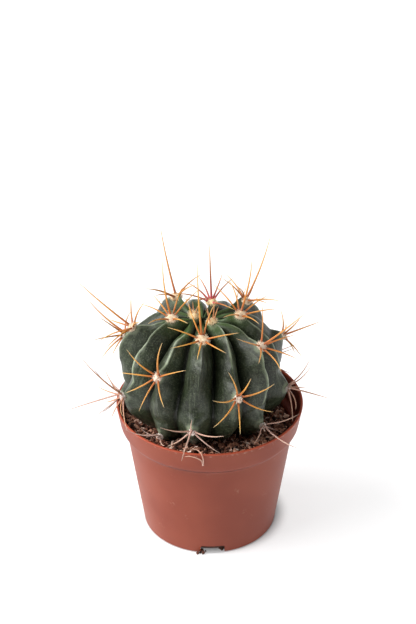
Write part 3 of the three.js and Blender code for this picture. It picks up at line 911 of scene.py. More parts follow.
    def build(self) -> bpy.types.Object:
        """Turns the pot, cuts its notches, marks its inside and its step for painted shade, and dresses it.
        """
        material = self.finish.material(self.height)
        pot = self.turned().piece("pot_shell", material)
        cutters = []
        for i in range(self.notches):
            cutter = self.notch_cutter(self.notch_azimuth + 360 * i / self.notches)
            cutters.append(cutter.piece(f"notch_cutter_{i}", material, smooth=False))
            cut = pot.modifiers.new("notch", "BOOLEAN")
            cut.operation = "DIFFERENCE"
            cut.solver = "EXACT"
            cut.object = cutters[-1]
        cut_pot = pot.evaluated_get(bpy.context.evaluated_depsgraph_get())
        finished = bpy.data.meshes.new_from_object(cut_pot)
        pot.modifiers.clear()
        pot.data = finished
        for cutter in cutters:
            bpy.data.objects.remove(cutter)
        finished.set_sharp_from_angle(angle=math.radians(self.sharpest_smooth))
        places = np.zeros(len(finished.vertices) * 3, dtype=np.float32)
        finished.vertices.foreach_get("co", places)
        marks = self.marks(places[2::3] / MM, np.hypot(places[0::3], places[1::3]) / MM)
        for name, numbers in marks.items():
            layer = finished.attributes.new(name, "FLOAT", "POINT")
            layer.data.foreach_set("value", numbers.astype(np.float32))
        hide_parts("pot")
        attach(pot, BODY)
        return pot


# Areoles and spines


class SeededDraw:
    """Numbers from 0 to 1 that are the same as those of the part's source for the same seed."""

    def __init__(self, seed: int) -> None:
        """Starts the row of numbers."""
        self.state = seed & UINT32

    def next(self) -> float:
        """The next number of the row."""
        self.state = (self.state + 0x6D2B79F5) & UINT32
        mixed = ((self.state ^ (self.state >> 15)) * (1 | self.state)) & UINT32
        mixed = ((mixed + ((mixed ^ (mixed >> 7)) * (61 | mixed))) & UINT32) ^ mixed
        return (mixed ^ (mixed >> 14)) / 2 ** 32

    def vary(self, amount: float) -> float:
        """A number from -amount to amount."""
        return amount * (2 * self.next() - 1)


@dataclass(frozen=True)
class Facing:
    """How an areole strays from the spiral, and the spines that it has, as seen in the photo.

    It strays aside and down in degrees. The radials are the spines' turns, clockwise from up the rib; the
    central spine has its turn, its lean off the skin and its length.
    """

    aside: float
    down: float
    radials: tuple[float, ...]
    central: Optional[tuple[float, float, float]] = None


# The areoles on the side in view, by age, the youngest first; that of age 4 is just hidden by the crown
FACING = {
    -8: Facing(-20, -1, (-60, 60, 170)),
    -5: Facing(0, 1, (-30, 40, 110, -100)),
    -4: Facing(-9, -5, (125, 95, 60, 175, -160, -60), (155, 66, 26)),
    -3: Facing(-2, 1, (-90, -125, 155, -40, -10, 85), (-65, 65, 27)),
    -2: Facing(0, 0, (25, 50, 125, 170, -125, -65), (75, 65, 27)),
    -1: Facing(5, -4, (-145, -70, 120, 90, 65, 0), (-150, 70, 33)),
    0: Facing(5, -2, (-75, -120, -170, 135, 90, 20, -20), (-5, 50, 36)),
    1: Facing(-9, -4, (130, -115, -80, 15, -20, 75), (125, 70, 33)),
    2: Facing(1, 4, (50, -70, 5, -125, 130, 90, 170), (-115, 65, 32)),
    3: Facing(5, -2, (35, -55, 105, 155, -150, -105), (85, 70, 26)),
    4: Facing(0, 16, (100, -100, 140, -140, 180), (180, 50, 24)),
    5: Facing(1, 1, (-55, 60, -95, -130, -175, 135), (25, 45, 29)),
    6: Facing(5, 8, (70, 105, 165, 140, -165, -35), (125, 60, 27)),
    7: Facing(0, 4, (40, -135, 180, 75, -80, 125), (0, 60, 24)),
    8: Facing(0, -3, (-20, 65, 115, -170, -115, -65), (10, 35, 17)),
    10: Facing(-3, 3, (15, -85, -120, -155, 75, 120), (-10, 28, 30)),
    11: Facing(0, 1, (30, -10, -45, -80, -120, 175), (120, 55, 25)),
    13: Facing(-2, -2, (5, -50, 60, -115, 110, -175), (-5, 65, 27)),
    16: Facing(-3, 0, (60, -70, -40, 120), (-20, 55, 26)),
    18: Facing(0, 0, (0, 25, 60, -60)),
}


# Where single ribs bend: (polar, degrees aside), by the rib's place from the first
RIB_BENDS = {
    -2: ((34, 0), (48, -1), (64, -4.4), (79, -1), (88, 2)),
    -1: ((23, 5), (33, -3), (45, 0), (83, 3), (97, 2)),
    0: ((48, 5), (77, 2), (95, 0)),
    1: ((23, 9), (33, 7.5), (54, 3), (70, 1.4), (94, -1.3)),
    2: ((24, 14), (35, 12), (45, 6.5), (61, -0.5), (68, -1.6), (90, 0.7), (102, -2)),
    3: ((32, -5.5), (46, -3), (58, 0), (78, -1.8)),
}


@dataclass
class Spine:
    """One spine: the way it points, clockwise from up the rib, its lean off the skin, and its size."""

    clock: float
    lean: float
    length: float
    bend: float
    radius: float


@dataclass
class Areole:
    """One areole's place on the stem and its three directions: up the rib, to the right, and out."""

    age: int
    number: int
    rib: int
    aside: float
    azimuth: float
    polar: float
    facing: Optional[Facing]
    spines: list[Spine] = field(default_factory=list)
    centre: np.ndarray = field(default_factory=lambda: np.zeros(3))
    up: np.ndarray = field(default_factory=lambda: np.zeros(3))
    right: np.ndarray = field(default_factory=lambda: np.zeros(3))
    out: np.ndarray = field(default_factory=lambda: np.zeros(3))

    @property
    def stage(self) -> Stage:
        """Its age as one of the record's three spine slots has it."""
        if self.age <= -4:
            return Stage.YOUNG
        return Stage.GROWN if self.age < 10 else Stage.OLD


@dataclass
class Stem:
    """The ribbed stem: a crest profile turned about its own axis, and the ribs' valleys cut into it.

    Ribs are counted from the first, 0, at the front: 1 is the next to the right and -1 the next to the left.
    The creases and swells are (age of the areole, millimetres), the valleys (rib, depth's share, skew) and
    the pale edges (rib, first polar angle, last).
    """

    x: float = -3.3
    y: float = -0.8
    waist: float = 85.0
    radius: float = 36.9
    crown_height: float = 26.8
    root_height: float = 36.5
    fullness: float = 0.93
    dimple_depth: float = 4.1
    dimple_radius: float = 10.7
    ribs: int = 13
    first_rib: float = -4.7
    spiral_step: int = 5
    spiral_middle: float = 62.3
    spiral_reach: float = 63.5
    spiral_age: float = 4.4
    spiral_ages: float = 9.6
    rib_depth: float = 9.6
    rib_end: float = 150.0
    rib_end_fade: float = 14.0
    tubercle_rise: float = 2.6
    rib_dip: float = 1.8
    shoulder: float = 8.0
    chin: float = 42.0
    crown_chin: float = 22.0
    crown_chin_end: float = 60.0
    bend_reach: float = 4.0
    wander_limit: float = 9.0
    wander_limit_bends: float = 14.0
    sway: float = 1.8
    sway_length: float = 13.0
    sway_turn: float = 2.4
    crease_above: float = 11.0
    crease_reach: float = 2.6
    creases: tuple[tuple[int, float], ...] = ((11, 0.9), (13, 1.3), (16, 1.4))
    faint_crease: float = 0.4
    swell_above: float = 5.0
    swell_reach: float = 4.5
    swells: tuple[tuple[int, float], ...] = (
        (-4, 0.6), (-3, 0.8), (-2, 0.8), (-1, 2.2), (0, 0.8), (1, 1.7), (2, 0.8))
    short_chin: float = 9.0
    short_chin_end: float = 15.0
    crest_round: float = 0.06
    cleft_depth: float = 1.0
    cleft_width: float = 0.14
    shallow_from: float = 72.0
    shallow_to: float = 110.0
    shallow_share: float = 0.56
    valleys: tuple[tuple[int, float, float], ...] = (
        (-2, 1.1, 0.0), (-1, 1.15, -0.09), (0, 1.3, 0.02), (1, 1.15, -0.03))
    pale_edges: tuple[tuple[int, float, float], ...] = (
        (-2, 20, 92), (-1, 20, 62), (0, 12, 30), (1, 18, 58), (2, 20, 104), (3, 26, 92))
    coarse_ripple: float = 0.32
    fine_ripple: float = 0.10
    columns_per_rib: int = 26
    crowding: float = 0.055
    rows: int = 216
    rows_growth: float = 1.08
    rows_end: float = 154.0
    foot_rows: int = 20
    finish: StemSkin = StemSkin()
    areoles: list[Areole] = field(default_factory=list)

    def __post_init__(self) -> None:
        """Sets the areoles along the spiral, from the youngest, at the crown, to the oldest, at the soil."""
        ages = [-8, *range(-5, 19)]
        self.areoles = [self._areole(age, i + 1) for i, age in enumerate(ages)]

    def _areole(self, age: int, number: int) -> Areole:
        """The areole of one age, at polar = middle + reach tanh((age - the middle one) / ages).

        The spiral steps five ribs at a time. A listed areole strays from it.

        Args:
            age: its age.
            number: its number in the names.

        Returns:
            The areole.
        """
        rib = self.signed_rib(self.spiral_step * age)
        facing = FACING.get(age)
        aside = facing.aside if facing else 0.0
        down = facing.down if facing else 0.0
        azimuth = self.first_rib + rib * 360 / self.ribs + aside
        along = math.tanh((age - self.spiral_age) / self.spiral_ages)
        polar = self.spiral_middle + self.spiral_reach * along + down
        areole = Areole(age, number, rib, aside, azimuth, polar, facing)
        turn = math.radians(azimuth)
        areole.centre = self.crest(azimuth, polar, self.tubercle_rise)
        areole.up = unit(self.crest(azimuth, polar - 1, 0) - self.crest(azimuth, polar + 1, 0))
        areole.right = np.array([math.cos(turn), math.sin(turn), 0])
        areole.out = unit(np.cross(areole.right, areole.up))
        return areole

    def signed_rib(self, rib: int) -> int:
        """The rib's place from the first, negative to the left."""
        turned = rib % self.ribs
        return turned - self.ribs if turned > (self.ribs - 1) / 2 else turned

    def crest(self, azimuth: Angles, polar: Angles, lift: Angles) -> np.ndarray:
        """Points of the crest profile, lifted off it.

        The radius is R sin p and the height half |cos p|^fullness, less a dimple that fades as
        exp(-(radius / its own)^2). The lift adds lift sin p to the radius and lift cos p to the height.

        Args:
            azimuth: degrees round the stem.
            polar: degrees from the crown.
            lift: millimetres off the profile.

        Returns:
            The points, along a new last axis.
        """
        turn, slope = np.radians(azimuth), np.radians(polar)
        sine, cosine = np.sin(slope), np.cos(slope)
        radius = self.radius * sine
        half = np.where(cosine > 0, self.crown_height, self.root_height)
        height = np.sign(cosine) * half * np.abs(cosine) ** self.fullness
        dimple = np.where(cosine > 0, self.dimple_depth * np.exp(-((radius / self.dimple_radius) ** 2)), 0)
        reach = radius + lift * sine
        return np.stack(np.broadcast_arrays(
            self.x + reach * np.sin(turn),
            self.y - reach * np.cos(turn),
            self.waist + height - dimple + lift * cosine,
        ), axis=-1)

    def wander(self, rib: int, own: Sequence[Areole], polar: np.ndarray) -> np.ndarray:
        """How far a rib strays aside: through its areoles' strays and its bends, smoothed by a bell.

        A rib with no listed bends sways by a sine as well.

        Args:
            rib: the rib.
            own: its areoles.
            polar: the angles at which it is asked.

        Returns:
            Degrees at each angle.
        """
        bends = RIB_BENDS.get(self.signed_rib(rib), ())
        knots = np.array(sorted([(areole.polar, areole.aside) for areole in own] + list(bends)))
        strays = np.clip(knots[:, 1], -self.wander_limit, self.wander_limit_bends)
        steps = np.arange(-20.0, 201.0)
        path = np.interp(steps, knots[:, 0], strays)
        if not bends:
            path = path + self.sway * np.sin(steps / self.sway_length + self.sway_turn * rib)
        bell = np.exp(-((np.arange(-12, 13) / self.bend_reach) ** 2))
        smooth = np.convolve(np.pad(path, 12, mode="edge"), bell / bell.sum(), mode="valid")
        return np.interp(polar, steps, smooth)

    def rise(self, own: Sequence[Areole], polar: np.ndarray) -> np.ndarray:
        """How far a rib rises over the profile, with a bump at each areole.

        A bump goes from the dip to the tubercle's rise, short above its areole and long below. A crease over
        an old areole's nose lowers the rib, and a swell just above a young one raises it, both as bells
        exp(-(distance / reach)^2).

        Args:
            own: the rib's areoles.
            polar: the angles at which it is asked.

        Returns:
            Millimetres at each angle.
        """
        spots = np.array([areole.polar for areole in own])
        offset = polar[:, None] - spots[None]
        grown = np.minimum(1, spots / self.crown_chin_end)
        chins = self.crown_chin + (self.chin - self.crown_chin) * grown
        chins = np.where(spots < self.short_chin_end, self.short_chin, chins)
        above = np.exp(-np.abs(offset / self.shoulder) ** 2.5)
        below = np.exp(-((offset / chins) ** 2))
        bump = np.where(offset < 0, above, below).max(axis=1)
        folds = np.array([dict(self.creases).get(areole.age, self.faint_crease) for areole in own])
        folds = folds * smoothstep(np.array([areole.age for areole in own]), 3, 9)
        fold_bell = np.exp(-(((offset + self.crease_above) / self.crease_reach) ** 2))
        swells = np.array([dict(self.swells).get(areole.age, 0.0) for areole in own])
        swell_bell = np.exp(-(((offset + self.swell_above) / self.swell_reach) ** 2))
        raised = (self.tubercle_rise + self.rib_dip) * bump - self.rib_dip
        return raised - (folds * fold_bell).max(axis=1) + (swells * swell_bell).max(axis=1)

    def rib_tables(self, polar: np.ndarray) -> tuple[np.ndarray, np.ndarray]:
        """How each rib wanders aside and rises over the profile.

        Args:
            polar: the angles at which it is asked.

        Returns:
            Wander in degrees and rise in millimetres, each as angles x ribs.
        """
        wander, rise = [], []
        for rib in range(self.ribs):
            own = [areole for areole in self.areoles if areole.rib % self.ribs == rib]
            wander.append(self.wander(rib, own, polar))
            rise.append(self.rise(own, polar))
        return np.stack(wander, axis=-1), np.stack(rise, axis=-1)

    def grid(self) -> tuple[np.ndarray, np.ndarray]:
        """The skin's columns and rows.

        The columns lie closer at crests and valleys, and the rows closer at the crown; below the end of the
        main rows a few more close the foot.

        Returns:
            Places round the stem, counted in ribs, and polar angles.
        """
        share = np.arange(self.columns_per_rib) / self.columns_per_rib
        crowded = share - self.crowding * np.sin(4 * np.pi * share)
        places = (np.arange(self.ribs)[:, None] + crowded[None]).ravel()
        upper = self.rows_end * ((np.arange(self.rows) + 1) / self.rows) ** self.rows_growth
        foot = np.linspace(self.rows_end, 180, self.foot_rows + 2)[1:-1]
        return places, np.concatenate([upper, foot])

    def relief(self, polar: np.ndarray, x: np.ndarray, rib: np.ndarray) -> np.ndarray:
        """How deep the valleys lie under the crests.

        Across a rib x goes from 0 on the crest to 1 in the valley, and r is x with the crest rounded,
        sqrt(x^2 + c^2) - c, scaled to end at 1. The depth is the rib's times 0.76 r + 0.12 r^2 + 0.12 r^5
        and times sin(polar)^0.8, and a cleft lies at the valley's foot. The ribs grow shallower down the
        stem, and the listed valleys are deeper on its upper half.

        Args:
            polar: the rows' angles.
            x: the columns' places across a rib.
            rib: the rib to the left of each column.

        Returns:
            Depths in millimetres, rows x columns.
        """
        corner = self.crest_round
        rounded = (np.sqrt(x ** 2 + corner ** 2) - corner) / (math.sqrt(1 + corner ** 2) - corner)
        valley = 0.76 * rounded + 0.12 * rounded ** 2 + 0.12 * rounded ** 5
        slope = np.sin(np.radians(polar))[:, None]
        aging = smoothstep(polar, self.shallow_from, self.shallow_to)[:, None]
        cleft = self.cleft_depth * np.exp(-(((1 - x) / self.cleft_width) ** 2))
        cleft = cleft * np.minimum(1, 3 * slope) * (1 - aging)
        deeper = np.ones(self.ribs)
        for place, share, _ in self.valleys:
            deeper[place % self.ribs] = share
        upper_half = (smoothstep(polar, 100, 78) * smoothstep(polar, 18, 36))[:, None]
        own = 1 + (deeper[rib] - 1) * upper_half
        return self.rib_depth * valley * slope ** 0.8 * own * (1 - self.shallow_share * aging) + cleft

    def skin(self) -> Shape:
        """The skin on a grid of angles round the stem and down it.

        A column's azimuth runs evenly from rib to rib, plus their wander. A valley is skewed to one side by
        shift sin(pi t)^2, with t from one crest to the next. The crests rise at the areoles, fading as
        (1 - x)^2 towards the valleys, and two sets of ripples make the whole slightly uneven.

        Returns:
            The shape, with the values that the finish reads.
        """
        places, polar = self.grid()
        wander, rise = self.rib_tables(polar)
        left = np.floor(places).astype(int) % self.ribs
        right = (left + 1) % self.ribs
        between = places - np.floor(places)
        azimuth = (self.first_rib + places * 360 / self.ribs
                   + wander[:, left] * (1 - between) + wander[:, right] * between)
        shifts = np.zeros(self.ribs)
        for rib, _, shift in self.valleys:
            shifts[rib % self.ribs] = shift
        skewed = between - shifts[left] * np.sin(np.pi * between) ** 2
        nearest = np.where(skewed < 0.5, left, right)
        x = 2 * np.minimum(skewed, 1 - skewed)
        fade = smoothstep(self.rib_end + self.rib_end_fade - polar, 0, 2 * self.rib_end_fade)[:, None]
        lift = (rise[:, nearest] * (1 - x) ** 2 - self.relief(polar, x, left)) * fade
        down = np.broadcast_to(polar[:, None], azimuth.shape)
        rings = self.crest(azimuth, down, lift)
        outward = unit(rings - np.array([self.x, self.y, self.waist - 8]))
        uneven = (self.coarse_ripple * Ripples(3, 9, 22).height(rings)
                  + self.fine_ripple * Ripples(4, 3, 7).height(rings))
        slope = np.sin(np.radians(polar))[:, None]
        rings = rings + outward * (uneven * np.minimum(1, 2 * slope))[..., None]
        first, last = (np.array([self.x, self.y, self.crest(0, end, 0)[2]]) for end in (0, 180))
        shape = closed_surface(rings, first, last)
        turn = np.radians(azimuth)
        grain = np.stack([np.sin(turn) * self.radius, np.cos(turn) * self.radius, down * 0.06], axis=-1) * MM
        centres = np.stack([areole.centre for areole in self.areoles])
        pad = np.linalg.norm(rings[:, :, None, :] - centres, axis=-1).min(axis=-1)
        edge = smoothstep(x, 0.10, 0.01) * self.edges(polar)[:, nearest]
        shape.values = {
            "crest": self._with_poles(np.broadcast_to(1 - x, azimuth.shape), 0.5, 0.5),
            "polar": self._with_poles(down, 0, 180),
            "pad": self._with_poles(pad, 99, 99),
            "edge": self._with_poles(edge, 0, 0),
            "grain": np.concatenate([[grain[0, 0]], grain.reshape(-1, 3), [grain[-1, 0]]]),
        }
        return shape

    def edges(self, polar: np.ndarray) -> np.ndarray:
        """How pale each rib's edge is: 1 between two angles of its own, as listed or ruled, and 0 beyond.

        Args:
            polar: the angles at which it is asked.

        Returns:
            The paleness, angles x ribs.
        """
        spans = {rib % self.ribs: (first, last) for rib, first, last in self.pale_edges}
        pale = []
        for rib in range(self.ribs):
            first, last = spans.get(rib, (22 + 3 * (rib % 3), 70 + 6 * (rib % 4)))
            pale.append(smoothstep(polar, first, first + 8) * smoothstep(polar, last + 7, last - 7))
        return np.stack(pale, axis=-1)

    @staticmethod
    def _with_poles(numbers: np.ndarray, first: float, last: float) -> np.ndarray:
        """The grid's numbers in a row, between those of its two poles."""
        return np.concatenate([[first], numbers.ravel(), [last]])

    def build(self) -> bpy.types.Object:
        """Makes and dresses the stem."""
        stem = self.skin().piece("stem_skin", self.finish.material())
        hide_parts("stem")
        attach(stem, BODY)
        return stem

    def height_over(self, points: np.ndarray) -> np.ndarray:
        """How high points lie over the crest profile, read as a rounded solid.

        Args:
            points: the points, in rows.

        Returns:
            Millimetres off the profile, negative inside it.
        """
        radius = np.hypot(points[:, 0] - self.x, points[:, 1] - self.y) / self.radius
        rise = points[:, 2] - self.waist
        half = np.where(rise > 0, self.crown_height, self.root_height)
        height = (np.abs(rise) / half) ** (1 / self.fullness)
        return (np.hypot(radius, height) - 1) * self.radius


@dataclass(frozen=True)
class CrumbKind:
    """One kind of crumb: how many, how large, how stretched, how dark or pale, and how far it stands out."""

    count: int
    sizes: tuple[float, float]
    stretch: tuple[float, float, float]
    tones: tuple[float, float]
    raised: float


@dataclass
class Soil:
    """The soil: a bed with a bowl for the stem's foot, and loose crumbs, flakes and grit over it.

    The crumbs in the front notch are (x, y, half size).
    """

    height: float = 54.0
    rise_to_front: float = 0.15
    rise_to_left: float = 0.03
    lump_height: float = 0.9
    columns: int = 180
    top_rows: int = 44
    bowl_rows: int = 8
    bowl_gap: float = 1.6
    wall_gap: float = 0.35
    floor_gap: float = 0.3
    edge_reach: float = 40.0
    edge_drop: float = 1.2
    side_drops: tuple[float, ...] = (0.4, 0.8, 1.2, 1.6)
    sunk: float = 0.5
    coarse_ripple: float = 0.55
    fine_ripple: float = 0.4
    bed_tone: float = 0.12
    crumbs: CrumbKind = CrumbKind(2500, (0.45, 1.7), (1.0, 0.75, 0.6), (0.05, 0.85), 0.25)
    flakes: CrumbKind = CrumbKind(900, (0.7, 2.2), (1.0, 0.36, 0.26), (0.3, 1.0), 0.55)
    grit: CrumbKind = CrumbKind(260, (0.35, 0.85), (1.0, 0.8, 0.7), (0.75, 1.0), 0.6)
    crumb_margin: float = 1.7
    crumb_depth: float = 1.5
    stem_overlap: float = 2.2
    tries: int = 5
    seed: int = 11
    in_notch: tuple[tuple[float, float, float], ...] = (
        (-5.5, -31.7, 0.75), (-2.9, -31.8, 0.8), (-4.2, -31.3, 0.6), (-3.6, -29.9, 0.9),
        (-1.9, -30.1, 0.45), (5.7, -28.9, 0.9), (5.9, -27.6, 0.8), (4.6, -27.9, 0.6))
    in_notch_tone: float = 0.22
    finish: PottingSoil = PottingSoil()

    def level(self, x: np.ndarray, y: np.ndarray) -> np.ndarray:
        """The height of the soil without its lumps: highest at the front left."""
        return self.height - self.rise_to_front * y - self.rise_to_left * x

    def bowl(self, stem: Stem, azimuth: np.ndarray) -> np.ndarray:
        """The bowl close under the stem's foot, up to where the stem comes out of the soil.

        Args:
            stem: the stem.
            azimuth: the columns' sides.

        Returns:
            Rings of points, from the lowest to the rim.
        """
        angles = np.linspace(180, 120, 241)
        tried = stem.crest(azimuth[None, :], angles[:, None], -self.bowl_gap)
        over = tried[..., 2] > self.level(tried[..., 0], tried[..., 1])
        rim_angle = angles[np.argmax(over, axis=0)]
        steps = (np.arange(self.bowl_rows) + 1)[:, None] / self.bowl_rows
        return stem.crest(azimuth[None, :], 180 + (rim_angle - 180)[None, :] * steps, -self.bowl_gap)

    def top(self, rim: np.ndarray, edge: np.ndarray, edge_height: np.ndarray) -> np.ndarray:
        """The uneven top, from the bowl's rim to the wall, where it drops a little.

        Args:
            rim: the bowl's last ring.
            edge: where the top meets the wall, seen from above.
            edge_height: how high it meets it.

        Returns:
            Rings of points, from the rim outwards.
        """
        share = (np.arange(self.top_rows) + 1) / self.top_rows
        ground = rim[None, :, :2] + (edge - rim[:, :2])[None] * share[:, None, None]
        drop = smoothstep(share, 0.8, 1.0)[:, None]
        height = self.level(ground[..., 0], ground[..., 1]) * (1 - drop) + edge_height[None] * drop
        flat = np.concatenate([ground, np.zeros_like(ground[..., :1])], axis=-1)
        rough = (self.coarse_ripple * Ripples(21, 4, 9).height(flat)
                 + self.fine_ripple * Ripples(22, 1.4, 3).height(flat))
        return np.concatenate([ground, (height + rough - self.sunk)[..., None]], axis=-1)

    def bed(self, stem: Stem, pot: Pot) -> Shape:
        """The bed as a closed surface.

        It goes from the bowl's pole up the bowl, close under the stem's foot, out over the uneven top to the
        wall, and down the wall to the floor.

        Args:
            stem: the stem that stands in it.
            pot: the pot that holds it.

        Returns:
            The shape, with the value "tone".
        """
        azimuth = np.linspace(0, 360, self.columns, endpoint=False)
        turn = np.radians(azimuth)
        out = np.stack([np.sin(turn), -np.cos(turn)], axis=-1)
        hole = self.bowl(stem, azimuth)
        edge_height = self.level(out[:, 0] * self.edge_reach, out[:, 1] * self.edge_reach) - self.edge_drop
        edge = out * (pot.inside_radius(edge_height) - self.wall_gap)[:, None]
        top = self.top(hole[-1], edge, edge_height)
        floor = pot.floor + self.floor_gap
        stops = np.array([pot.step_top, pot.step_foot, pot.step_foot / 2, floor])
        below = edge_height[None] - np.array(self.side_drops)[:, None]
        side_height = np.minimum(stops[:, None], below)
        side_reach = pot.inside_radius(side_height) - self.wall_gap
        side = np.concatenate([out[None] * side_reach[..., None], side_height[..., None]], axis=-1)
        under = side[-1] * [0.5, 0.5, 1]
        rings = np.concatenate([hole[:-1], top, side, under[None]])
        bottom = np.array([stem.x, stem.y, hole[0, 0, 2] - 0.05])
        shape = closed_surface(rings, bottom, np.array([0, 0, floor]))
        shape.values = {"tone": np.full(len(shape.points), self.bed_tone)}
        return shape

    def scatter(self, count: int, stem: Stem, pot: Pot, rng: np.random.Generator) -> np.ndarray:
        """Places on the top of the soil, even over its area between the stem's foot and the wall.

        Args:
            count: how many.
            stem: the stem, whose foot is kept clear.
            pot: the pot, whose wall is kept clear.
            rng: where the places come from.

        Returns:
            Places x 3, on the bare level.
        """
        radius = pot.lip_radius * np.sqrt(rng.random(self.tries * count))
        turn = 2 * np.pi * rng.random(self.tries * count)
        x, y = radius * np.sin(turn), -radius * np.cos(turn)
        spots = np.stack([x, y, self.level(x, y)], axis=-1)
        inside = radius < pot.inside_radius(spots[:, 2] - self.crumb_depth) - self.crumb_margin
        return spots[inside & (stem.height_over(spots) > -self.stem_overlap)][:count]

    def loose(self, stem: Stem, pot: Pot) -> Shape:
        """All crumbs, bark flakes and grit, on the soil and in the notch.

        Most are small and dark: sizes and tones are least + (most - least) r^2 and r^1.9 of a random r.

        Args:
            stem: the stem, whose foot is kept clear.
            pot: the pot, whose wall is kept clear.

        Returns:
            One shape, with the value "tone" of each crumb.
        """
        rng = np.random.default_rng(self.seed)
        parts = []
        for kind in (self.crumbs, self.flakes, self.grit):
            (least, most), (dark, light) = kind.sizes, kind.tones
            spots = self.scatter(kind.count, stem, pot, rng)
            size = least + (most - least) * rng.random(len(spots)) ** 2
            spots[:, 2] += kind.raised * size + self.lump_height * (rng.random(len(spots)) - 0.45)
            shape = lumps(spots, size[:, None] * np.array(kind.stretch), rng)
            tones = dark + (light - dark) * rng.random(len(spots)) ** 1.9
            shape.values = {"tone": np.repeat(tones, len(shape.points) // len(spots))}
            parts.append(shape)
        return parts[0].joined(parts[1]).joined(parts[2]).joined(self.spilled(rng))

    def spilled(self, rng: np.random.Generator) -> Shape:
        """The few crumbs that came out through the front notch and lie in it.

        Args:
            rng: where their dents, turns and tones come from.

        Returns:
            One shape, with the value "tone" of each crumb, and nothing of it under the floor.
        """
        spots = np.array(self.in_notch)
        shape = lumps(spots, spots[:, 2:] * [1.1, 1.0, 0.9], rng)
        shape.points[:, 2] = np.maximum(shape.points[:, 2], 0.02)
        tones = self.in_notch_tone * rng.random(len(spots))
        shape.values = {"tone": np.repeat(tones, len(shape.points) // len(spots))}
        return shape

    def build(self, stem: Stem, pot: Pot) -> list[bpy.types.Object]:
        """Makes and dresses the bed and what lies on it.

        Args:
            stem: the stem that stands in it.
            pot: the pot that holds it.

        Returns:
            The bed and the crumbs.
        """
        material = self.finish.material()
        bed = self.bed(stem, pot).piece("soil_bed", material)
        loose = self.loose(stem, pot).piece("soil_crumbs", material, smooth=False)
        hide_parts("soil")
        for piece in (bed, loose):
            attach(piece, BODY)
        return [bed, loose]


